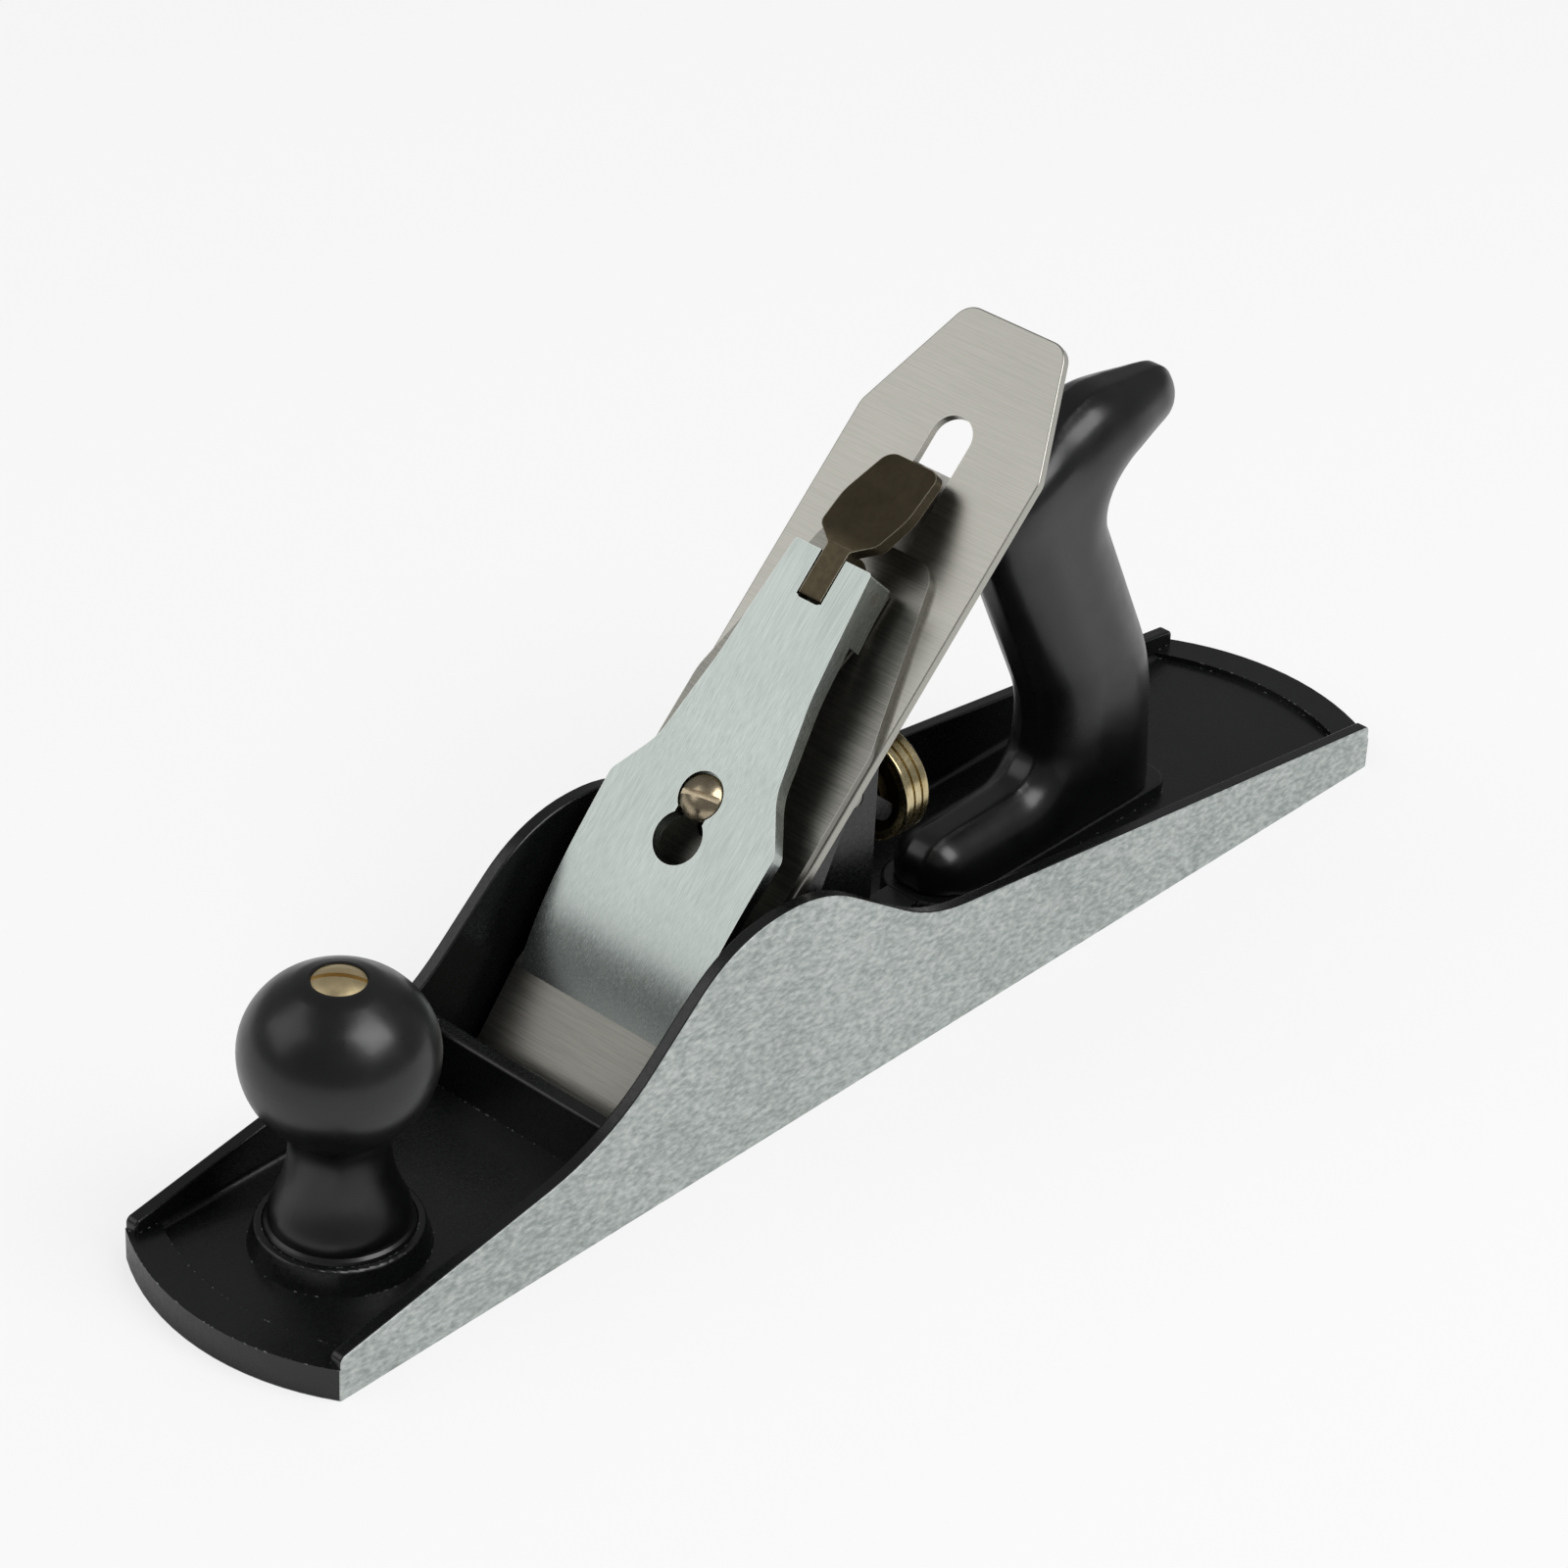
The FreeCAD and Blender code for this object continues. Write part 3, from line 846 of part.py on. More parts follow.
def front_knob():
    """Turned knob: bell foot, waist, ball, and a low dome up to the nut."""
    def at(r, z):
        return Vector(r, 0, z)

    def crown(t):
        return at(KNOB_BALL_R * math.cos(t), KNOB_BALL_H + KNOB_CROWN_H * math.sin(t))
    base = KNOB_SEAT_H + 0.05
    bead = base + KNOB_BASE_T
    join_z = KNOB_BALL_H - KNOB_BALL_R * 0.80
    join_r = KNOB_BALL_R * 0.60
    rim_turn = math.acos(KNOB_RIM_R / KNOB_BALL_R)
    under_turn = math.asin(0.80) / 2
    bore = ROD_R + ROD_GAP
    sink = NUT_R + 0.1
    sink_z = KNOB_TOP_H - NUT_T + 1.0
    flare = Part.BSplineCurve()
    flare.interpolate([at(KNOB_BASE_R - 0.6, bead + 0.6), at(KNOB_BASE_R - 2.0, bead + 6.0),
                       at(KNOB_NECK_R, KNOB_NECK_H), at(join_r, join_z)],
                      InitialTangent=Vector(0.1, 0, 1), FinalTangent=Vector(0.8, 0, 0.6))
    dome = Part.BSplineCurve()
    dome.interpolate([crown(rim_turn * i / 6) for i in range(7)], InitialTangent=Vector(0, 0, 1),
                     FinalTangent=Vector(-KNOB_BALL_R * math.sin(rim_turn), 0,
                                         KNOB_CROWN_H * math.cos(rim_turn)).normalize())
    edges = [Part.LineSegment(at(bore, base), at(KNOB_BASE_R, base)).toShape(),
             arc_edge(at(KNOB_BASE_R, base), at(KNOB_BASE_R + 0.4, base + KNOB_BASE_T / 2),
                      at(KNOB_BASE_R, bead)),
             Part.LineSegment(at(KNOB_BASE_R, bead), at(KNOB_BASE_R - 0.6, bead + 0.6)).toShape(),
             flare.toShape(),
             arc_edge(at(join_r, join_z), at(KNOB_BALL_R * math.cos(under_turn),
                                             KNOB_BALL_H - KNOB_BALL_R * math.sin(under_turn)),
                      at(KNOB_BALL_R, KNOB_BALL_H)),
             dome.toShape(),
             Part.LineSegment(at(KNOB_RIM_R, KNOB_TOP_H), at(sink, KNOB_TOP_H)).toShape(),
             Part.LineSegment(at(sink, KNOB_TOP_H), at(sink, sink_z)).toShape(),
             Part.LineSegment(at(sink, sink_z), at(bore, sink_z)).toShape(),
             Part.LineSegment(at(bore, sink_z), at(bore, base)).toShape()]
    knob = Part.Face(Part.Wire(edges)).revolve(Vector(), UP, 360)
    knob.translate(Vector(KNOB_X, 0, 0))
    return knob


def barrel_nut(base, axis, along):
    """Slotted nut with a shallow dome, sunk in the handle's top; base is its lower end."""
    dome_h = 1.4
    ball_r = (NUT_R ** 2 + dome_h ** 2) / (2 * dome_h)
    drum = disc(base, axis, NUT_R, NUT_T)
    ball = Part.makeSphere(ball_r, base + axis * (NUT_T - ball_r))
    bore = disc(base - axis, axis, ROD_R + RUN_GAP, NUT_T - 2.5)
    slot = screw_slot(base + axis * NUT_T, along, axis, 1.3, 1.9, 2 * NUT_R + 2)
    return cut(drum.common(ball), bore, slot)


def knob_nut():
    turn = math.radians(KNOB_SLOT_TURN)
    along = Vector(math.cos(turn), math.sin(turn), 0)
    return barrel_nut(Vector(KNOB_X, 0, KNOB_TOP_H - NUT_T + 1.2), UP, along)


def knob_rod():
    top = KNOB_TOP_H - 4.0
    return disc(Vector(KNOB_X, 0, ROD_ROOT_H), UP, ROD_R, top - ROD_ROOT_H)


def tote_top():
    """Where the rod's axis leaves the tote."""
    return on_tote_rod(107.0)


def tote_side():
    """Side outline of the handle: toe, grip front, crown, horn, and the grip's back."""
    return [(TOTE_BASE_FRONT_X, TOTE_SEAT_H + 0.05, 0), (TOTE_BASE_FRONT_X, TOTE_TOE_H, 8.0),
            (TOTE_GRIP_FRONT_X, TOTE_TOE_H + 1.2, 9.0),
            (TOTE_GRIP_FRONT_X - 1.0, TOTE_TOE_H + 19.0, 26.0),
            (TOTE_CROWN_FRONT_X, TOTE_CROWN_H - 20.5, 7.0),
            (TOTE_CROWN_FRONT_X - 7.0, TOTE_CROWN_H - 12.5, 7.0),
            (TOTE_CROWN_FRONT_X - 37.0, TOTE_CROWN_H + 0.8, 22.0),
            (TOTE_HORN_X + 6.0, TOTE_CROWN_H - 2.5, 9.0), (TOTE_HORN_X, TOTE_CROWN_H - 15.5, 6.6),
            (TOTE_THROAT_X, TOTE_CROWN_H - 23.5, 9.0),
            (TOTE_BASE_REAR_X + 3.0, TOTE_SEAT_H + 35.0, 60.0),
            (TOTE_BASE_REAR_X, TOTE_SEAT_H + 0.05, 0)]


def tote():
    grip = wall(tote_side(), TOTE_HALF_T)

    def long_edge(edge):
        b = edge.BoundBox
        return b.YMax - b.YMin < 1e-3 and b.ZMax > TOTE_SEAT_H + 1
    grip = round_edges(grip, TOTE_EDGE_R, long_edge)
    bore = disc(on_tote_rod(TOTE_SEAT_H - 2), tote_axis(), ROD_R + ROD_GAP, 130)
    top = tote_top()
    sink = disc(top - tote_axis() * TOTE_NUT_DEPTH, tote_axis(), NUT_R + 0.25, 40)
    pin_hole = disc(Vector(TOE_PIN_X, 0, 0), UP, TOE_PIN_R + RUN_GAP, TOE_PIN_H + PIN_TIP_GAP)
    return cut(grip, bore, sink, pin_hole)


def tote_nut():
    axis = tote_axis()
    along = Vector(axis.z, 0, -axis.x)
    return barrel_nut(tote_top() - axis * (TOTE_NUT_DEPTH - 0.1), axis, along)


def tote_rod():
    axis = tote_axis()
    low = on_tote_rod(ROD_ROOT_H)
    high = tote_top() - axis * (TOTE_NUT_DEPTH - 5.5)
    return disc(low, axis, ROD_R, (high - low).Length)


def tote_toe_pin():
    """Stands in the casting and ends blind inside the handle's toe."""
    length = TOE_PIN_H - ROD_ROOT_H
    profile = [(0, 0, 0), (TOE_PIN_R, 0, 0), (TOE_PIN_R, length, 0.6), (0, length, 0)]
    return turned(profile, Vector(TOE_PIN_X, 0, ROD_ROOT_H), UP)


NODES = [body, frog, frog_screws, frog_washers, frog_adjusting_screw, frog_clip, frog_clip_screw,
         yoke, yoke_pin, depth_stud, depth_wheel, lateral_lever, lateral_rivet, lateral_disc,
         cutting_iron, chip_breaker, cap_iron_screw, lever_cap, lever_cap_screw, lever_cap_cam,
         cam_pin, lever_cap_spring, spring_rivet, front_knob, knob_rod, knob_nut, tote, tote_rod,
         tote_nut, tote_toe_pin]

os.makedirs("parts", exist_ok=True)
for make in NODES:
    shape = make()
    shape.exportStep("parts/" + make.__name__ + ".step")
    print(make.__name__, "solids", len(shape.Solids), "valid", shape.isValid(),
          "volume", round(shape.Volume, 1))
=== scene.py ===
import json
import math

import bmesh
import bpy
import numpy as np
from mathutils import Matrix, Vector


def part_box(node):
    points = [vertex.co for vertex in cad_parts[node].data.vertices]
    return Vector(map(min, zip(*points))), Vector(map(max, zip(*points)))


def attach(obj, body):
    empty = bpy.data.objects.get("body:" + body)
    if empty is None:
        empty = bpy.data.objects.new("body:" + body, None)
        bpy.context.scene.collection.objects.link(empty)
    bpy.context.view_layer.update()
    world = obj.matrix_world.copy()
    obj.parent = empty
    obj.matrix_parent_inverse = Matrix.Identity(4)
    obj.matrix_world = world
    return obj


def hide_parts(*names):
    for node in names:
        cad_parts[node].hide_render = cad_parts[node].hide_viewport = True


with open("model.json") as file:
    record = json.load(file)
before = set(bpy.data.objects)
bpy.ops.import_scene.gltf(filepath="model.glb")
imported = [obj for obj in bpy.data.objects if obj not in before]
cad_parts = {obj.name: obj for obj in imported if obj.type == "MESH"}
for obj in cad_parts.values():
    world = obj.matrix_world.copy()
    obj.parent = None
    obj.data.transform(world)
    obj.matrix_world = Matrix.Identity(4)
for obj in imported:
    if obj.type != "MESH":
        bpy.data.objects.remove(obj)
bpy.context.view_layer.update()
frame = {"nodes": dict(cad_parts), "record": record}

# A metal bench plane. Everything is in metres, in the CAD frame: origin at the centre of the
# sole's underside, +X towards the toe, +Y towards the plane's left side, +Z up.
MM = 0.001
NODES = frame["nodes"]

BODY_LOW, BODY_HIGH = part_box("body")
HALF_WIDTH = BODY_HIGH.y
END_BULGE = 9 * MM                      # curved toe and heel, past the ends of the cheeks
CHEEK_END = BODY_HIGH.x - END_BULGE
WHEEL_LOW, WHEEL_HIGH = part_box("depth_wheel")
WHEEL_H = (WHEEL_LOW.z + WHEEL_HIGH.z) / 2
WHEEL_R = (WHEEL_HIGH.z - WHEEL_LOW.z) / 2
UP_SLOPE = Vector((-1, 0, 1)).normalized()      # up the blade
OFF_SLOPE = Vector((1, 0, 1)).normalized()      # square to it, towards the toe


# ---- Node helpers -----------------------------------------------------------
NOISE_RANGE = (0.3, 0.7)        # where most of a noise's values lie


class Nodes:
    """A material's node tree, with a short call for each kind of node it needs."""

    def __init__(self, name):
        self.material = bpy.data.materials.new(name)
        self.material.use_nodes = True
        self.tree = self.material.node_tree
        self.shader = self.tree.nodes["Principled BSDF"]
        self.place = self.add("ShaderNodeTexCoord").outputs["Object"]

    def add(self, kind, **settings):
        node = self.tree.nodes.new(kind)
        for key, value in settings.items():
            setattr(node, key, value)
        return node

    def put(self, socket, value):
        if isinstance(value, bpy.types.NodeSocket):
            self.tree.links.new(value, socket)
        else:
            socket.default_value = value

    def math(self, operation, a, b=0.0):
        node = self.add("ShaderNodeMath", operation=operation)
        self.put(node.inputs[0], a)
        self.put(node.inputs[1], b)
        return node.outputs[0]

    def split(self):
        node = self.add("ShaderNodeSeparateXYZ")
        self.put(node.inputs[0], self.place)
        return node.outputs

    def join(self, x, y, z):
        node = self.add("ShaderNodeCombineXYZ")
        for socket, value in zip(node.inputs, (x, y, z)):
            self.put(socket, value)
        return node.outputs[0]

    def ramp(self, value, low, high, out_low=0.0, out_high=1.0, smooth=False):
        node = self.add("ShaderNodeMapRange")
        node.interpolation_type = "SMOOTHSTEP" if smooth else "LINEAR"
        for socket, number in zip(node.inputs, (value, low, high, out_low, out_high)):
            self.put(socket, number)
        return node.outputs[0]

    def spread(self, noise, low, high):
        """The noise's usual range, stretched from low to high."""
        return self.ramp(noise, *NOISE_RANGE, low, high)

    def noise(self, scale, detail=3.0, roughness=0.55, at=None):
        """Soft noise. Its scale is in features per metre, or per unit of the coordinates in at."""
        node = self.add("ShaderNodeTexNoise")
        self.put(node.inputs["Vector"], at or self.place)
        self.put(node.inputs["Scale"], scale)
        self.put(node.inputs["Detail"], detail)
        self.put(node.inputs["Roughness"], roughness)
        return node.outputs["Fac"]

    def mix(self, factor, a, b):
        node = self.add("ShaderNodeMix", data_type="RGBA")
        self.put(node.inputs["Factor"], factor)
        for name, value in (("A", a), ("B", b)):
            socket = [s for s in node.inputs if s.name == name and s.type == "RGBA"][0]
            self.put(socket, value)
        return [s for s in node.outputs if s.type == "RGBA"][0]

    def blend(self, factor, a, b):
        node = self.add("ShaderNodeMix", data_type="FLOAT")
        self.put(node.inputs[0], factor)
        self.put(node.inputs[2], a)
        self.put(node.inputs[3], b)
        return node.outputs[0]

    def bump(self, height, distance, strength=1.0):
        node = self.add("ShaderNodeBump")
        self.put(node.inputs["Height"], height)
        node.inputs["Distance"].default_value = distance
        node.inputs["Strength"].default_value = strength
        self.put(self.shader.inputs["Normal"], node.outputs[0])

    def edges(self, radius, low, high):
        """Up to 1 along sharp edges, inner ones too, and 0 on open faces."""
        soft = self.add("ShaderNodeBevel", samples=4)
        soft.inputs["Radius"].default_value = radius
        flat = self.add("ShaderNodeNewGeometry")
        dot = self.add("ShaderNodeVectorMath", operation="DOT_PRODUCT")
        self.put(dot.inputs[0], soft.outputs[0])
        self.put(dot.inputs[1], flat.outputs["Normal"])
        return self.ramp(dot.outputs["Value"], high, low)

    def set(self, **values):
        names = {"color": "Base Color", "coat": "Coat Weight", "coat_roughness": "Coat Roughness"}
        for key, value in values.items():
            self.put(self.shader.inputs[names.get(key, key.capitalize())], value)


def colour(red, green, blue):
    """A display colour, 0 to 255, as the linear colour that a shader takes."""
    def linear(v):
        v /= 255
        return v / 12.92 if v <= 0.04045 else ((v + 0.055) / 1.055) ** 2.4
    return (linear(red), linear(green), linear(blue), 1.0)


def bed_axes(n):
    """Coordinates up the blade's slope, across it, and square to it."""
    x, y, z = n.split()
    turn = math.sqrt(0.5)
    up = n.math("MULTIPLY", n.math("SUBTRACT", z, x), turn)
    out = n.math("MULTIPLY", n.math("ADD", z, x), turn)
    return up, y, out


# ---- Materials --------------------------------------------------------------
def japanning(n):
    """Colour, roughness and height of black enamel baked on a rough casting."""
    grain = n.noise(900.0, 4.0, 0.6)
    orange_peel = n.noise(190.0, 2.0)
    drift = n.noise(60.0)
    height = n.math("ADD", n.math("MULTIPLY", grain, 0.35), orange_peel)
    tone = n.mix(drift, colour(8, 9, 9), colour(17, 19, 18))
    return tone, n.spread(grain, 0.20, 0.36), height


def chips(n, radius, level):
    """1 in spots along edges, where the enamel has flaked off. A higher level leaves fewer."""
    flaked = n.math("GREATER_THAN", n.noise(900.0, 4.0), level)
    return n.math("MULTIPLY", n.edges(radius, 0.80, 0.95), flaked)


SIDE_SKIN = 0.25 * MM       # a face this near the casting's side is ground bright,
UNDER_SKIN = 0.15 * MM      # and so is one this near its underside
CHEEK_SPARE = 0.2 * MM      # the bright sides run this far past the cheeks' ends
FLECK_LEAN, FLECK_DROP = 0.8, 0.3       # how far the flecks lean, in X per Z and in Z per X
FLECK_STRETCH = 0.45                    # below 1, they are longer than they are high


def sole_material():
    n = Nodes("sole_casting")
    x, y, z = n.split()
    black, black_rough, black_height = japanning(n)
    side = n.math("GREATER_THAN", n.math("ABSOLUTE", y), HALF_WIDTH - SIDE_SKIN)
    inboard = n.math("LESS_THAN", n.math("ABSOLUTE", x), CHEEK_END + CHEEK_SPARE)
    under = n.math("LESS_THAN", z, UNDER_SKIN)
    ground = n.math("MAXIMUM", n.math("MULTIPLY", side, inboard), under)
    # Ground iron: short soft flecks that lean along the cheek, with a broad cloudy drift.
    leaning = n.math("ADD", x, n.math("MULTIPLY", z, FLECK_LEAN))
    lean = n.join(n.math("MULTIPLY", leaning, FLECK_STRETCH), y,
                  n.math("SUBTRACT", z, n.math("MULTIPLY", x, FLECK_DROP)))
    fleck = n.noise(820.0, 3.0, 0.66, at=lean)
    cloud = n.noise(38.0, 3.0)
    mottle = n.ramp(n.blend(0.14, fleck, cloud), 0.36, 0.64)
    steel = n.mix(mottle, colour(150, 158, 155), colour(202, 207, 204))
    flaked = chips(n, 0.5 * MM, 0.60)
    bare = n.math("MAXIMUM", ground, n.math("MULTIPLY", flaked, 0.8))
    n.set(color=n.mix(bare, black, steel), metallic=n.math("MULTIPLY", bare, 0.55),
          roughness=n.blend(bare, black_rough, n.spread(fleck, 0.42, 0.58)))
    n.bump(n.blend(ground, black_height, n.math("MULTIPLY", fleck, 0.5)), 0.12 * MM, 0.5)
    return n.material


def enamel_material(name):
    n = Nodes(name)
    tone, rough, height = japanning(n)
    flaked = chips(n, 0.4 * MM, 0.62)
    n.set(color=n.mix(flaked, tone, colour(150, 148, 140)), roughness=rough,
          metallic=n.math("MULTIPLY", flaked, 0.8))
    n.bump(height, 0.10 * MM, 0.5)
    return n.material


BRUSH_LONG, BRUSH_FINE = 36.0, 4200.0       # streaks per metre, along the strokes and across them


def brushed_material(name, dark, light, along_slope, rough_low, rough_high):
    """Metal with straight brush lines, up the blade's slope or across it."""
    n = Nodes(name)
    up, across, out = bed_axes(n)
    up_scale, across_scale = (BRUSH_LONG, BRUSH_FINE) if along_slope else (BRUSH_FINE, 2 * BRUSH_LONG)
    strokes = n.join(n.math("MULTIPLY", up, up_scale), n.math("MULTIPLY", across, across_scale),
                     n.math("MULTIPLY", out, BRUSH_FINE))
    line = n.noise(1.0, 4.0, 0.6, at=strokes)
    drift = n.noise(25.0, 2.0)
    tone = n.mix(n.ramp(n.blend(0.2, line, drift), 0.36, 0.64), dark, light)
    # Edges, inner ones too, are lightened: partly wear, partly a painted highlight.
    wear_and_highlight = n.edges(0.35 * MM, 0.80, 0.97)
    n.set(color=n.mix(n.math("MULTIPLY", wear_and_highlight, 0.5), tone, colour(228, 228, 222)), metallic=1.0,
          roughness=n.spread(line, rough_low, rough_high))
    n.bump(line, 0.008 * MM, 0.30)
    return n.material


TARNISH_SHADE = 0.35        # how bright tarnish is, as a share of the darker metal


def turned_material(name, dark, light, rough, tarnish=0.25):
    """Turned metal: a fine even grain, a little tarnish, and edges lightened, partly by wear and
    partly as a painted highlight.
    """
    n = Nodes(name)
    grain = n.noise(2600.0, 2.0)
    smear = n.noise(400.0, 3.0)
    stain = n.ramp(n.noise(130.0, 4.0), 0.42, 0.66, 0.0, tarnish, smooth=True)
    tone = n.mix(grain, dark, light)
    tone = n.mix(stain, tone, tuple(TARNISH_SHADE * c for c in dark[:3]) + (1.0,))
    # Edges, inner ones too, are lightened: partly wear, partly a painted highlight.
    wear_and_highlight = n.edges(0.3 * MM, 0.80, 0.97)
    n.set(color=n.mix(n.math("MULTIPLY", wear_and_highlight, 0.6), tone, light), metallic=1.0,
          roughness=n.spread(smear, rough - 0.06, rough + 0.08))
    n.bump(grain, 0.015 * MM, 0.3)
    return n.material


def cam_material():
    n = Nodes("cam_bronze")
    stain = n.noise(140.0, 4.0)
    smear = n.noise(700.0, 3.0)
    pitting = n.noise(1400.0, 3.0)
    face = n.mix(stain, colour(66, 58, 44), colour(92, 83, 64))
    # Edges, inner ones too, are lightened towards pale metal: partly wear, partly a painted highlight.
    wear_and_highlight = n.edges(0.5 * MM, 0.70, 0.95)
    n.set(color=n.mix(wear_and_highlight, face, colour(196, 190, 170)), metallic=0.85,
          roughness=n.spread(smear, 0.34, 0.48))
    n.bump(pitting, 0.03 * MM, 0.4)
    return n.material


def handle_material():
    n = Nodes("handle_black")
    grain = n.noise(1100.0, 3.0)
    wave = n.noise(45.0, 2.0)
    smear = n.noise(160.0, 4.0)
    n.set(color=n.mix(wave, colour(6, 6, 7), colour(13, 14, 14)),
          roughness=n.spread(smear, 0.27, 0.36), coat=0.15, coat_roughness=0.2)
    n.bump(n.math("ADD", n.math("MULTIPLY", grain, 0.3), wave), 0.05 * MM, 0.35)
    return n.material


RIM_START, RIM_FULL = 0.80, 0.86        # of the wheel's radius, where the painted shade on the face gives way to bright brass


def wheel_material():
    """Brass with bright rims round a face painted dark as shade, both unevenly stained."""
    n = Nodes("wheel_brass")
    _, y, z = n.split()
    rise = n.math("SUBTRACT", z, WHEEL_H)
    reach = n.math("SQRT", n.math("ADD", n.math("MULTIPLY", y, y), n.math("MULTIPLY", rise, rise)))
    rim = n.ramp(reach, RIM_START * WHEEL_R, RIM_FULL * WHEEL_R, smooth=True)
    stain = n.ramp(n.noise(260.0, 4.0), 0.35, 0.70)
    smear = n.noise(900.0, 3.0)
    grain = n.noise(1500.0, 2.0)
    bright = n.mix(stain, colour(214, 200, 160), colour(188, 170, 124))
    # The face inside the rims is painted dark as shade, with uneven stains.
    shaded_face = n.mix(stain, colour(70, 60, 40), colour(44, 38, 28))
    n.set(color=n.mix(rim, shaded_face, bright), metallic=1.0,
          roughness=n.blend(rim, 0.45, n.spread(smear, 0.20, 0.30)))
    n.bump(grain, 0.01 * MM, 0.3)
    return n.material


MATERIALS = {
    "sole_casting": sole_material(),
    "japanning": enamel_material("japanning"),
    "dark_casting": enamel_material("dark_casting"),
    "small_steel": turned_material("small_steel", colour(138, 136, 130), colour(178, 176, 170), 0.34),
    "blade_steel": brushed_material("blade_steel", colour(168, 167, 159), colour(188, 186, 178),
                                    along_slope=False, rough_low=0.28, rough_high=0.36),
    "lever_cap_nickel": brushed_material("lever_cap_nickel", colour(160, 168, 164),
                                         colour(190, 197, 193), along_slope=True,
                                         rough_low=0.20, rough_high=0.28),
    "screw_nickel": turned_material("screw_nickel", colour(142, 125, 96), colour(206, 194, 170), 0.26),
    "cam_bronze": cam_material(),
    "brass": turned_material("brass", colour(220, 198, 150), colour(240, 222, 180), 0.38, 0.08),
    "handle_black": handle_material(),
}
SLOT_OF = {s["node"]: s["material_slot"] for s in frame["record"]["subparts"]}
for name, piece in NODES.items():
    piece.data.materials.clear()
    piece.data.materials.append(MATERIALS[SLOT_OF[name]])
NODES["depth_wheel"].data.materials[0] = wheel_material()
# The chip breaker gets a darker copy of the blade's steel: painted shade.
NODES["chip_breaker"].data.materials[0] = brushed_material(
    "chip_breaker_shaded_steel", colour(122, 121, 115), colour(152, 150, 143),
    along_slope=False, rough_low=0.28, rough_high=0.36)


# ---- Meshes that take a CAD node's place -------------------------------------
def copy_of(node, name):
    piece = bpy.data.objects.new(name, NODES[node].data.copy())
    bpy.context.scene.collection.objects.link(piece)
    return piece


def stand_for(piece, node, body):
    """The piece takes the node's place, its finish and its body."""
    piece.data.materials.clear()
    piece.data.materials.append(MATERIALS[SLOT_OF[node]])
    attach(piece, body)
    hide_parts(node)


def smooth_by_angle(mesh, limit):
    """Smooth faces, with a crease wherever two of them meet at more than the limit."""
    work = bmesh.new()
    work.from_mesh(mesh)
    for face in work.faces:
        face.smooth = True
    for edge in work.edges:
        edge.smooth = len(edge.link_faces) == 2 and edge.calc_face_angle(math.pi) < limit
    work.to_mesh(mesh)
    work.free()


NOSE_LENGTH = 57 * MM       # how far up from the lip the lever cap swells
NOSE_SWELL = 0.30           # its slope at the lip, over the straight casting's
NOSE_CUTS = 16              # rows of faces along it
CAP_CREASE = math.radians(32)


def lever_cap():
    """The lever cap with its nose arched, so that it turns down towards the lip."""
    piece = copy_of("lever_cap", "lever_cap_arched")
    mesh = piece.data
    lip = min(v.co.dot(UP_SLOPE) for v in mesh.vertices)
    work = bmesh.new()
    work.from_mesh(mesh)
    for i in range(1, NOSE_CUTS + 1):
        level = (lip + NOSE_LENGTH * i / NOSE_CUTS) * UP_SLOPE
        bmesh.ops.bisect_plane(work, geom=work.verts[:] + work.edges[:] + work.faces[:],
                               plane_co=level, plane_no=UP_SLOPE)
    for v in work.verts:
        u = (v.co.dot(UP_SLOPE) - lip) / NOSE_LENGTH
        if u < 1:
            v.co += OFF_SLOPE * NOSE_SWELL * NOSE_LENGTH * u * (1 - u) ** 2
    work.to_mesh(mesh)
    work.free()
    smooth_by_angle(mesh, CAP_CREASE)
    stand_for(piece, "lever_cap", "frog")


HANDLE_VOXEL = 1.1 * MM
HANDLE_FLAT_R = 7.0 * MM         # edge radius of the CAD handle
HANDLE_ROUND = 13.0 * MM         # how far in from its outline the oval section reaches
HANDLE_RIDGE = 1.6 * MM          # half-width left at the outline
HORN_TAPER = 0.40                # share of its thickness that the horn loses at the tip
HORN_REACH = 26 * MM             # the horn thins over this much of its length, up to the tip,
HORN_LOW, HORN_FULL = 42 * MM, 26 * MM   # from the first depth below its top, and wholly by the second
NUT_CLEAR_NEAR, NUT_CLEAR_FAR = 8 * MM, 20 * MM   # from the nut: CAD shape inside, oval outside
OUTLINE_BESIDE = 6.5 * MM        # the outline is cut this far off the middle, clear of the bores
SEAT_SKIP = 0.5 * MM             # what lies lower than this above the seat isn't outline
HANDLE_SMOOTHINGS = 3
HANDLE_CREASE = math.radians(50)


def handle_outline(mesh, seat):
    """Segments (x, z) of the handle's side outline, without its seat."""
    work = bmesh.new()
    work.from_mesh(mesh)
    cut = bmesh.ops.bisect_plane(work, geom=work.verts[:] + work.edges[:] + work.faces[:],
                                 plane_co=(0, OUTLINE_BESIDE, 0), plane_no=(0, 1, 0))
    ends = [[(v.co.x, v.co.z) for v in e.verts] for e in cut["geom_cut"]
            if isinstance(e, bmesh.types.BMEdge)]
    work.free()
    return np.array([e for e in ends if max(e[0][1], e[1][1]) > seat + SEAT_SKIP])


def smooth_step(value, low, high):
    t = np.clip((value - low) / (high - low), 0, 1)
    return t * t * (3 - 2 * t)


def even_faces(piece):
    """The piece's mesh, made again from small faces of one size."""
    grid = piece.modifiers.new("even faces", "REMESH")
    grid.mode, grid.voxel_size = "VOXEL", HANDLE_VOXEL
    shown = piece.evaluated_get(bpy.context.evaluated_depsgraph_get())
    mesh = bpy.data.meshes.new_from_object(shown)
    piece.modifiers.clear()
    piece.data = mesh
    return mesh


def depth_inside(outline, at):
    """How far each point lies from the outline, seen from the side."""
    flat = at[:, None, [0, 2]]
    start, along = outline[None, :, 0], (outline[:, 1] - outline[:, 0])[None]
    share = np.clip(((flat - start) * along).sum(2) / (along ** 2).sum(2), 0, 1)
    return np.sqrt((((flat - start) - share[..., None] * along) ** 2).sum(2)).min(1)


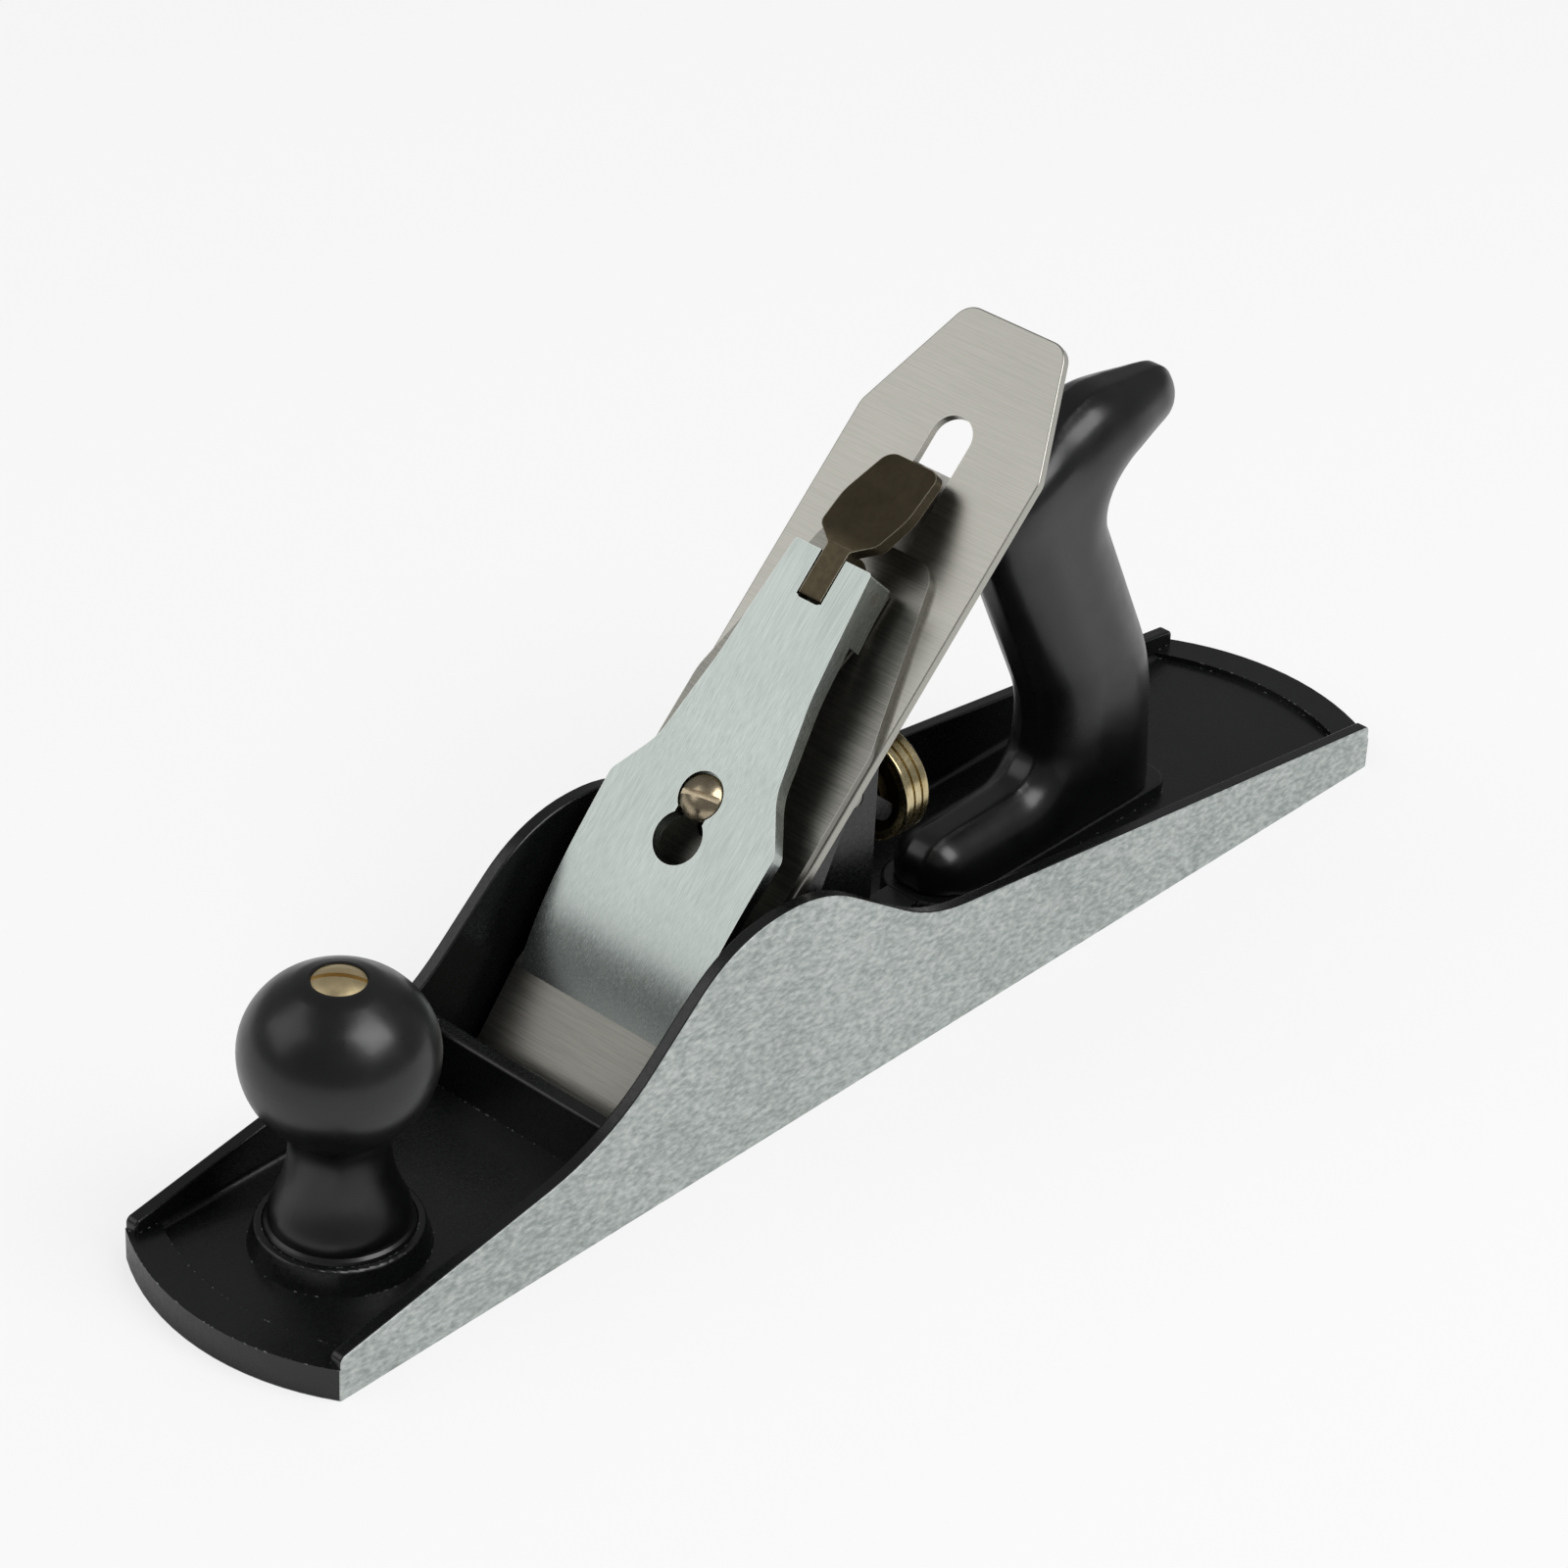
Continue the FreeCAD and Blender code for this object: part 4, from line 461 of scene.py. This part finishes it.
def handle():
    """The rear handle with an oval section and a horn that thins towards its tip."""
    piece = copy_of("tote", "tote_shaped")
    low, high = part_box("tote")
    half = high.y
    outline = handle_outline(piece.data, low.z)
    mesh = even_faces(piece)
    at = np.array([v.co for v in mesh.vertices])
    depth = depth_inside(outline, at)
    inner = half - HANDLE_FLAT_R
    was = inner + np.sqrt(HANDLE_FLAT_R ** 2 - np.clip(HANDLE_FLAT_R - depth, 0, None) ** 2)
    round_in = np.sqrt(1 - (1 - np.clip(depth / HANDLE_ROUND, 0, 1)) ** 2)
    wanted = HANDLE_RIDGE + (half - HANDLE_RIDGE) * round_in
    horn = (smooth_step(-at[:, 0], -low.x - HORN_REACH, -low.x)
            * smooth_step(at[:, 2], high.z - HORN_LOW, high.z - HORN_FULL))
    factor = wanted / was * (1 - HORN_TAPER * horn)
    nut_low, nut_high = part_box("tote_nut")
    nut = np.array((nut_low + nut_high) / 2)
    far = smooth_step(np.linalg.norm(at - nut, axis=1), NUT_CLEAR_NEAR, NUT_CLEAR_FAR)
    at[:, 1] *= 1 - far * (1 - factor)
    mesh.vertices.foreach_set("co", at.ravel())
    work = bmesh.new()
    work.from_mesh(mesh)
    for _ in range(HANDLE_SMOOTHINGS):
        bmesh.ops.smooth_vert(work, verts=work.verts[:], factor=0.5, use_axis_x=True,
                              use_axis_y=True, use_axis_z=True)
    work.to_mesh(mesh)
    work.free()
    smooth_by_angle(mesh, HANDLE_CREASE)
    stand_for(piece, "tote", "sole")


lever_cap()
handle()


# ---- Floor, light and camera ------------------------------------------------
FLOOR_REACH = 6.0
FLOOR_SHADE, FLOOR_ROUGHNESS = 0.82, 0.95
GLOW_SHADE, GLOW_SHARE = 0.985, 0.74        # what the camera alone sees of the floor, and how much


def stage():
    """A pale matt floor that glows to the camera only, so that it throws no light on the plane."""
    mesh = bpy.data.meshes.new("floor")
    corners = ((-1, -1), (1, -1), (1, 1), (-1, 1))
    mesh.from_pydata([(FLOOR_REACH * x, FLOOR_REACH * y, 0) for x, y in corners], [], [(0, 1, 2, 3)])
    floor = bpy.data.objects.new("floor", mesh)
    bpy.context.scene.collection.objects.link(floor)
    material = bpy.data.materials.new("floor_white")
    material.use_nodes = True
    tree = material.node_tree
    shader = tree.nodes["Principled BSDF"]
    shader.inputs["Base Color"].default_value = (FLOOR_SHADE, FLOOR_SHADE, FLOOR_SHADE, 1)
    shader.inputs["Roughness"].default_value = FLOOR_ROUGHNESS
    shader.inputs["Specular IOR Level"].default_value = 0.0
    glow = tree.nodes.new("ShaderNodeEmission")
    glow.inputs["Color"].default_value = (GLOW_SHADE, GLOW_SHADE, GLOW_SHADE, 1)
    path = tree.nodes.new("ShaderNodeLightPath")
    share = tree.nodes.new("ShaderNodeMath")
    share.operation = "MULTIPLY"
    tree.links.new(path.outputs["Is Camera Ray"], share.inputs[0])
    share.inputs[1].default_value = GLOW_SHARE
    mix = tree.nodes.new("ShaderNodeMixShader")
    tree.links.new(share.outputs[0], mix.inputs[0])
    tree.links.new(shader.outputs[0], mix.inputs[1])
    tree.links.new(glow.outputs[0], mix.inputs[2])
    tree.links.new(mix.outputs[0], tree.nodes["Material Output"].inputs["Surface"])
    mesh.materials.append(material)


def soft_light(name, place, target, size, power):
    data = bpy.data.lights.new(name, "AREA")
    data.shape, data.size, data.energy = "SQUARE", size, power
    lamp = bpy.data.objects.new(name, data)
    lamp.location = place
    aim = Vector(target) - Vector(place)
    lamp.rotation_euler = aim.to_track_quat("-Z", "Y").to_euler()
    bpy.context.scene.collection.objects.link(lamp)


def sky(strength, mirrored):
    """An even white surround, dimmer in reflections so that black enamel stays black."""
    world = bpy.data.worlds.new("studio")
    bpy.context.scene.world = world
    world.use_nodes = True
    tree = world.node_tree
    back = tree.nodes["Background"]
    back.inputs["Color"].default_value = (1, 1, 1, 1)
    path = tree.nodes.new("ShaderNodeLightPath")
    level = tree.nodes.new("ShaderNodeMapRange")
    tree.links.new(path.outputs["Is Glossy Ray"], level.inputs["Value"])
    level.inputs["To Min"].default_value = strength
    level.inputs["To Max"].default_value = mirrored
    tree.links.new(level.outputs["Result"], back.inputs["Strength"])


CAMERA_PLACE = Vector((0.706970, 0.605744, 0.658000))
CAMERA_AZIMUTH, CAMERA_ELEVATION, CAMERA_ROLL = (math.radians(a) for a in (130.879, 32.922, 2.987))
CAMERA_LENS, SENSOR_WIDTH = 117.4, 36.0     # in millimetres
CLIP_NEAR, CLIP_FAR = 0.05, 50.0


def camera():
    a, e, r = CAMERA_AZIMUTH, CAMERA_ELEVATION, CAMERA_ROLL
    back = Vector((math.sin(a) * math.cos(e), -math.cos(a) * math.cos(e), math.sin(e)))
    level = Vector((math.cos(a), math.sin(a), 0))
    rise = back.cross(level)
    right = math.cos(r) * level + math.sin(r) * rise
    up = -math.sin(r) * level + math.cos(r) * rise
    data = bpy.data.cameras.new("camera")
    data.lens, data.sensor_width = CAMERA_LENS, SENSOR_WIDTH
    data.clip_start, data.clip_end = CLIP_NEAR, CLIP_FAR
    view = bpy.data.objects.new("camera", data)
    turn = Matrix((right, up, back)).transposed().to_4x4()
    view.matrix_world = Matrix.Translation(CAMERA_PLACE) @ turn
    bpy.context.scene.collection.objects.link(view)
    bpy.context.scene.camera = view


stage()
sky(strength=0.55, mirrored=0.22)
soft_light("key", place=(-0.2, 0.9, 1.3), target=(0, 0, 0.05), size=1.0, power=14.0)
soft_light("fill", place=(1.0, -0.92, 1.12), target=(0, 0, 0.06), size=1.2, power=4.8)
camera()
bpy.context.scene.view_settings.view_transform = "Standard"
